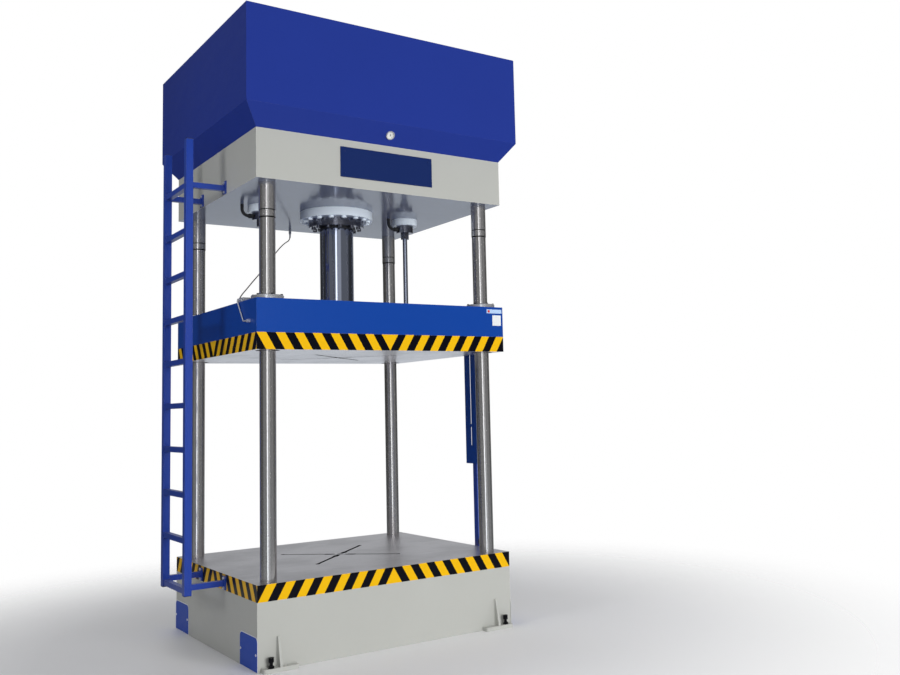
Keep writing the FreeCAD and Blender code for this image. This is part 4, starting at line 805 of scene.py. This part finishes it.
class PRESS_OT_nameplate(bpy.types.Operator):
    """Frame the bare nameplate with a raised rim and its rivets"""

    bl_idname = "press.nameplate"
    bl_label = "Nameplate rim"

    def execute(self, context):
        low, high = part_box("nameplate")
        width = context.scene.press_sizes.plate_border
        centre = Vector(((low.x + high.x) / 2, low.y, (low.z + high.z) / 2))
        bm = bmesh.new()
        size = Matrix.Diagonal((high.x - low.x - 0.002, high.z - low.z - 0.002, 1, 1))
        made = bmesh.ops.create_grid(bm, x_segments=1, y_segments=1, size=0.5, matrix=size)
        face = made["verts"][0].link_faces[0]
        bmesh.ops.inset_region(bm, faces=[face], thickness=width, use_even_offset=True, use_boundary=True)
        bmesh.ops.delete(bm, geom=[face], context="FACES_ONLY")
        grown = bmesh.ops.extrude_face_region(bm, geom=bm.faces[:])
        top = [g for g in grown["geom"] if isinstance(g, bmesh.types.BMVert)]
        bmesh.ops.translate(bm, vec=(0, 0, 0.0012), verts=top)
        rim = [e for e in bm.edges if all(v in top for v in e.verts) and len(e.link_faces) == 2
               and e.calc_face_angle() > 0.5]
        soften(bm, rim, 0.0005)
        bmesh.ops.recalc_face_normals(bm, faces=bm.faces)
        turn = Matrix.Translation(centre) @ Euler((math.pi / 2, 0, 0)).to_matrix().to_4x4()
        bmesh.ops.transform(bm, matrix=turn, verts=bm.verts)
        settle("nameplate_rim", bm, "plate enamel", "press_frame")

        bm = bmesh.new()
        for x in (low.x + RIVET_IN, high.x - RIVET_IN):
            for z in (low.z + RIVET_IN, high.z - RIVET_IN):
                lathe(bm, ((0, 0.0028), (0.0025, 0.0026), (0.0046, 0.0018), (0.0055, 0.0004), (0.0055, 0),
                           (0, 0)), facing((x, low.y, z), (0, -1, 0)), 16)
        settle("nameplate_rivets", bm, "plate enamel", "press_frame")
        return {"FINISHED"}


class PRESS_OT_gauge(bpy.types.Operator):
    """Mark the gauge dial with its scale and plain numbers"""

    bl_idname = "press.gauge"
    bl_label = "Gauge scale"

    def execute(self, context):
        joint = next(j for j in frame["joints"] if j["name"] == "needle_turn")
        pivot, outward = Vector(joint["pos_m"]), Vector(joint["axis"])
        out = -outward if outward.y > 0 else outward
        up = Vector((0, 0, 1))
        upward = (up - out * up.dot(out)).normalized()
        sideways = upward.cross(out)
        basis = Matrix((sideways, upward, out)).transposed().to_4x4()
        face = Matrix.Translation(pivot + out * 0.00505) @ basis
        bm = bmesh.new()
        for k in range(31):
            long = k % 5 == 0
            angle = math.radians(225 - 9 * k)
            size = (0.0036 if long else 0.0020, 0.0007 if long else 0.0004, 0.0002)
            turn = Matrix.Rotation(angle, 4, "Z") @ Matrix.Translation((0.0205 - size[0] / 2, 0, 0.0001))
            bmesh.ops.create_cube(bm, size=1.0, matrix=face @ turn @ Matrix.Diagonal((*size, 1)))
        settle("gauge_scale", bm, "needle lacquer", "press_frame")
        for k in range(7):
            angle = math.radians(225 - 45 * k)
            text = bpy.data.curves.new(f"gauge_number_{k}", "FONT")
            text.body = str(k)
            text.size = 0.0062
            text.align_x = "CENTER"
            text.align_y = "CENTER"
            text.extrude = 0.0001
            holder = bpy.data.objects.new(f"number_{k}", text)
            mesh = bpy.data.meshes.new_from_object(holder)
            spot = Matrix.Translation((0.0138 * math.cos(angle), 0.0138 * math.sin(angle), 0.0001))
            mesh.transform(face @ spot)
            bm = bmesh.new()
            bm.from_mesh(mesh)
            settle(f"gauge_number_{k}", bm, "needle lacquer", "press_frame")
            bpy.data.objects.remove(holder)
        return {"FINISHED"}


class PRESS_OT_ladder(bpy.types.Operator):
    """Cap the ladder posts, and add the rung welds and the bracket bolts"""

    bl_idname = "press.ladder"
    bl_label = "Ladder fittings"

    def execute(self, context):
        bead = context.scene.press_sizes.bead
        bm = bmesh.new()
        for name in ("ladder_post_front", "ladder_post_back"):
            low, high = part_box(name)
            for z0, z1 in ((low.z - 0.003, low.z), (high.z, high.z + 0.003)):
                block(bm, (low.x, low.y, z0), (high.x, high.y, z1), 0.0014)
        settle("ladder_post_caps", bm, "black plastic", "press_frame")

        front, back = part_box("ladder_post_front"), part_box("ladder_post_back")
        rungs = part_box("ladder_rungs")
        bm = bmesh.new()
        half = (rungs[1].x - rungs[0].x) / 2
        centre_x = (rungs[0].x + rungs[1].x) / 2
        for z in RUNG_HEIGHTS:
            for y0, y1 in ((front[1].y, front[1].y + bead / 2), (back[0].y - bead / 2, back[0].y)):
                grow = half + bead / 2
                block(bm, (centre_x - grow, y0, z - grow), (centre_x + grow, y1, z + grow), bead * 0.22)
        settle("rung_welds", bm, "ladder enamel", "press_frame")

        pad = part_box("bed_frame")[0].x - ARM_PAD
        bm = bmesh.new()
        washers = bmesh.new()
        for z0 in ARM_FEET:
            for side in (-1, 1):
                for up in ARM_BOLTS:
                    spot = Vector((pad, side * ARM_SIDE, z0 + up))
                    lathe(washers, ((0.0, 0.0015), (0.0095, 0.0015), (0.010, 0.001), (0.010, 0), (0, 0)),
                          facing(spot, (-1, 0, 0)), 24)
                    bolt_head(bm, spot + Vector((-0.0015, 0, 0)), (-1, 0, 0))
        settle("bracket_bolts", bm, "zinc", "press_frame", 25)
        settle("bracket_washers", washers, "zinc", "press_frame")
        return {"FINISHED"}


class PRESS_OT_slide(bpy.types.Operator):
    """Add the wiper seals, the plain labels and the cam bolts to the slide"""

    bl_idname = "press.slide"
    bl_label = "Slide fittings"

    def execute(self, context):
        sizes = context.scene.press_sizes
        bush_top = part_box("guide_bushes")[1].z
        bm = bmesh.new()
        for x, y in column_axes():
            h = sizes.seal_height
            lathe(bm, ((0.0504, 0), (0.0610, 0), (0.0610, h * 0.55), (0.0595, h * 0.8), (0.0540, h * 0.8),
                       (0.0520, h), (0.0504, h)), Matrix.Translation((x, y, bush_top)), 48, closed=True)
        settle("column_wipers", bm, "black rubber", "slide")

        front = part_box("slide_frame")[0].y
        for name, (left, right, bottom, top), finish in (
            ("slide_label_upper", LABEL_UPPER, "label blue"), ("slide_label_lower", LABEL_LOWER, "label white")
        ):
            bm = bmesh.new()
            block(bm, (left, front - LABEL_THICK, bottom), (right, front, top), 0.0003)
            settle(name, bm, finish, "slide")
        bm = bmesh.new()
        lathe(bm, ((0, 0.0016), (0.008, 0.0015), (0.0095, 0.0008), (0.0095, 0), (0, 0)),
              facing((LABEL_DOT[0], front - LABEL_THICK, LABEL_DOT[1]), (0, -1, 0)), 24)
        settle("slide_label_dot", bm, "signal red", "slide")

        outer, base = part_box("cam_plate")[1].x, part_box("slide_plate")[1].z
        bm = bmesh.new()
        for up in CAM_BOLT_HEIGHTS:
            for y in CAM_BOLT_PLACES:
                spot = Vector((outer, y, base + up))
                lathe(bm, ((0, 0.0012), (0.0105, 0.0012), (0.011, 0.0006), (0.011, 0), (0, 0)),
                      facing(spot, (1, 0, 0)), 20)
                bolt_head(bm, spot + Vector((0.0012, 0, 0)), (1, 0, 0))
        settle("cam_bolts", bm, "blackened steel", "slide", 25)
        return {"FINISHED"}


class PRESS_OT_base(bpy.types.Operator):
    """Add the foot welds, the lock nuts and the cover gaskets to the bed"""

    bl_idname = "press.base"
    bl_label = "Base fittings"

    def execute(self, context):
        bead = context.scene.press_sizes.bead
        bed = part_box("bed_frame")
        bm = bmesh.new()
        nuts = bmesh.new()
        for sx in (-1, 1):
            for sy in (-1, 1):
                wall = sy * bed[1].y
                x0, x1 = sorted(sx * end for end in FOOT_ENDS)
                rib = (x0 + x1) / 2
                bar = facing((rib, wall, FOOT_TOP), (1, 0, 0))
                weld_bar(bm, bead * 0.6, x1 - x0 - 0.01, bar)
                for side in (-1, 1):
                    post = Matrix.Translation((rib + side * RIB_HALF, wall, FOOT_TOP + 0.085))
                    weld_bar(bm, bead * 0.5, 0.168, post)
                spot = Vector((sx * FOOT_BOLT, sy * (bed[1].y + FOOT_BOLT_OUT), FOOT_TOP))
                lathe(nuts, ((0.0101, 0), (0.0180, 0), (0.0180, 0.002), (0.0101, 0.002)),
                      Matrix.Translation(spot), 24, closed=True)
                prism(nuts, (0.0170, 6), 0.012, Matrix.Translation(spot + Vector((0, 0, 0.002))), 0.0015)
        bmesh.ops.recalc_face_normals(bm, faces=bm.faces)
        settle("foot_welds", bm, "body enamel", "press_frame")
        settle("levelling_locknuts", nuts, "blackened steel", "press_frame", 25)

        table_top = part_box("bed_table")[1].z
        bm = bmesh.new()
        lathe(bm, ((0.0252, 0), (0.0340, 0), (0.0340, 0.0010), (0.0330, 0.0020), (0.0262, 0.0020),
                   (0.0252, 0.0010)),
              Matrix.Translation((0, 0, table_top)), 48, closed=True)
        settle("table_centre_ring", bm, "bezel chrome", "press_frame")

        bm = bmesh.new()
        low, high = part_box("access_covers")
        near, far = COVER_EDGES
        bottom = max(low.z - GASKET_LIP, 0.0005)
        for sx in (-1, 1):
            for sy in (-1, 1):
                x0, x1 = sorted((sx * bed[1].x, sx * (bed[1].x + 0.0012)))
                y0, y1 = sorted((sy * (near - GASKET_LIP), sy * (far + GASKET_LIP)))
                block(bm, (x0, y0, bottom), (x1, y1, high.z + GASKET_LIP))
        corners = [e for e in bm.edges if abs(e.verts[0].co.x - e.verts[1].co.x) > 0.0005
                   and e.verts[0].co.z > high.z]
        soften(bm, corners, GASKET_CORNER, 8)
        settle("cover_gaskets", bm, "label white", "press_frame", 25)
        return {"FINISHED"}


class PRESS_OT_studio(bpy.types.Operator):
    """Set up the floor, the soft lights, the surroundings and the camera"""

    bl_idname = "press.studio"
    bl_label = "Studio"

    def execute(self, context):
        studio = context.scene.press_studio
        context.scene.view_settings.view_transform = "Standard"
        self.make_floor(studio)
        self.make_lights(studio)
        self.make_world(context, studio)
        self.make_camera(context)
        return {"FINISHED"}

    def make_floor(self, studio):
        bm = bmesh.new()
        bmesh.ops.create_grid(bm, x_segments=8, y_segments=8, size=30.0)
        bmesh.ops.translate(bm, vec=(0, 0, -0.0005), verts=bm.verts)
        made = bpy.data.materials.new("floor")
        made.use_nodes = True
        made.node_tree.nodes.clear()
        bench = Bench(made.node_tree)
        place = bench.place()
        far = bench.add("VectorMath", {"operation": "LENGTH"})
        bench.feed(far.inputs[0], place)
        fade = bench.ramp(far.outputs["Value"], 1.6, 4.6)
        speck = bench.noise(place, 60.0, 3.0, 0.6)
        tone = bench.mix(bench.times(speck, 0.03), tuple(studio.floor), (0.7, 0.7, 0.7))
        soft = bench.add("BsdfPrincipled", Base_Color=tone, Roughness=0.6).outputs[0]
        clear = bench.add("BsdfTransparent").outputs[0]
        bench.surface("OutputMaterial", bench.both(fade, soft, clear))
        put("floor", bake("floor", bm, made))

    def make_lights(self, studio):
        for name, place, target, size, spread, power in (
            ("key_softbox", (0.6, -9.0, 2.4), (0, 0, 1.9), 4.0, 180, studio.key),
            ("fill_softbox", (7.5, -3.0, 3.4), (0, 0, 1.9), 4.0, 180, studio.fill),
            ("back_softbox", (1.0, 8.0, 4.0), (0, 0, 1.9), 4.0, 180, studio.fill),
            ("side_softbox", (-6.5, -1.2, 4.0), (0, 0, 2.7), 2.5, 70, studio.side),
            ("top_softbox", (0.0, 0.0, 8.0), (0, 0, 0), 5.0, 180, studio.top),
        ):
            lamp = bpy.data.lights.new(name, "AREA")
            lamp.shape = "SQUARE"
            lamp.size = size
            lamp.energy = power
            lamp.spread = math.radians(spread)
            stand = put(name, lamp)
            stand.location = place
            stand.visible_glossy = False
            stand.rotation_euler = (Vector(target) - Vector(place)).to_track_quat("-Z", "Y").to_euler()

    def make_world(self, context, studio):
        world = bpy.data.worlds.new("studio")
        world.use_nodes = True
        world.node_tree.nodes.clear()
        bench = Bench(world.node_tree)
        rays = bench.add("LightPath").outputs
        x, y, z = bench.apart(bench.add("TexCoord").outputs["Generated"])
        round_angle = bench.maths("ARCTAN2", y, x)
        glow = 0.035
        for angle, half, strength in (
            (-119, 5, 2.0), (-153, 26, 0.11), (-100, 13, 0.34), (-60, 30, 0.11), (54, 24, 0.45)
        ):
            turn = bench.less(round_angle, math.radians(angle))
            turn = bench.size(bench.maths("WRAP", turn, math.pi, -math.pi))
            box_light = bench.ramp(turn, math.radians(half * 1.4), math.radians(half * 0.6), 0.0, strength)
            glow = bench.maths("ADD", box_light, glow)
        lift = bench.ramp(z, 0.1, 0.9, 0.0, 0.3)
        glow = bench.maths("ADD", glow, lift)
        under = bench.ramp(z, 0.0, -0.12)
        behind = bench.size(bench.maths("WRAP", bench.less(round_angle, math.radians(54)), math.pi, -math.pi))
        low_glow = bench.maths("ADD", glow, bench.ramp(behind, math.radians(44), math.radians(22), 0.03, 0.2))
        tint = bench.mix(under, (0.94, 0.97, 1.0), (0.86, 0.93, 1.0))
        mirror, soft, seen = (
            bench.add("Background", Color=colour, Strength=strength).outputs[0]
            for colour, strength in (
                (tint, bench.level(under, glow, low_glow)), ((0.97, 0.985, 1.0), studio.sky), ((1, 1, 1), 1.0)
            )
        )
        lit = bench.both(rays["Is Glossy Ray"], soft, mirror)
        bench.surface("OutputWorld", bench.both(rays["Is Camera Ray"], lit, seen))
        context.scene.world = world

    def make_camera(self, context):
        yaw, pitch, roll = (math.radians(a) for a in (36.049, 5.702, -1.744))
        ahead = Vector((math.sin(yaw) * math.cos(pitch), math.cos(yaw) * math.cos(pitch), math.sin(pitch)))
        level = Vector((math.cos(yaw), -math.sin(yaw), 0))
        over = level.cross(ahead)
        right = math.cos(roll) * level + math.sin(roll) * over
        above = math.cos(roll) * over - math.sin(roll) * level
        lens = bpy.data.cameras.new("camera")
        lens.sensor_fit = "HORIZONTAL"
        lens.sensor_width = 36.0
        lens.lens = 38.725
        lens.shift_x = -0.0852
        lens.shift_y = -0.0301
        lens.clip_start, lens.clip_end = 0.1, 200.0
        camera = put("camera", lens)
        turned = Matrix((right, above, -ahead)).transposed().to_4x4()
        camera.matrix_world = Matrix.Translation((-2.9988, -6.4513, 1.494)) @ turned
        context.scene.camera = camera


class PRESS_PT_panel(bpy.types.Panel):
    """Sizes, colours and steps of the press"""

    bl_idname = "PRESS_PT_panel"
    bl_label = "Press"
    bl_space_type = "VIEW_3D"
    bl_region_type = "UI"
    bl_category = "Press"

    def draw(self, context):
        for group in (context.scene.press_colours, context.scene.press_sizes, context.scene.press_studio):
            column = self.layout.column(align=True)
            for name in group.__annotations__:
                column.prop(group, name)
        for step in STEPS:
            self.layout.operator(step.bl_idname)


STEPS = (PRESS_OT_studio, PRESS_OT_finishes, PRESS_OT_hose, PRESS_OT_nameplate, PRESS_OT_gauge, PRESS_OT_ladder,
         PRESS_OT_slide, PRESS_OT_base)
GROUPS = (("press_colours", PressColours), ("press_sizes", PressSizes), ("press_studio", StudioSettings))


def register():
    for name, group in GROUPS:
        bpy.utils.register_class(group)
        setattr(bpy.types.Scene, name, bpy.props.PointerProperty(type=group))
    for made in (*STEPS, PRESS_PT_panel):
        bpy.utils.register_class(made)


def unregister():
    for made in reversed((*STEPS, PRESS_PT_panel)):
        bpy.utils.unregister_class(made)
    for name, group in reversed(GROUPS):
        delattr(bpy.types.Scene, name)
        bpy.utils.unregister_class(group)


def main():
    """Build the looks of the press, one step after another."""
    register()
    bpy.ops.press.studio()
    bpy.ops.press.finishes()
    bpy.ops.press.hose()
    bpy.ops.press.nameplate()
    bpy.ops.press.gauge()
    bpy.ops.press.ladder()
    bpy.ops.press.slide()
    bpy.ops.press.base()


if __name__ == "__main__":
    main()
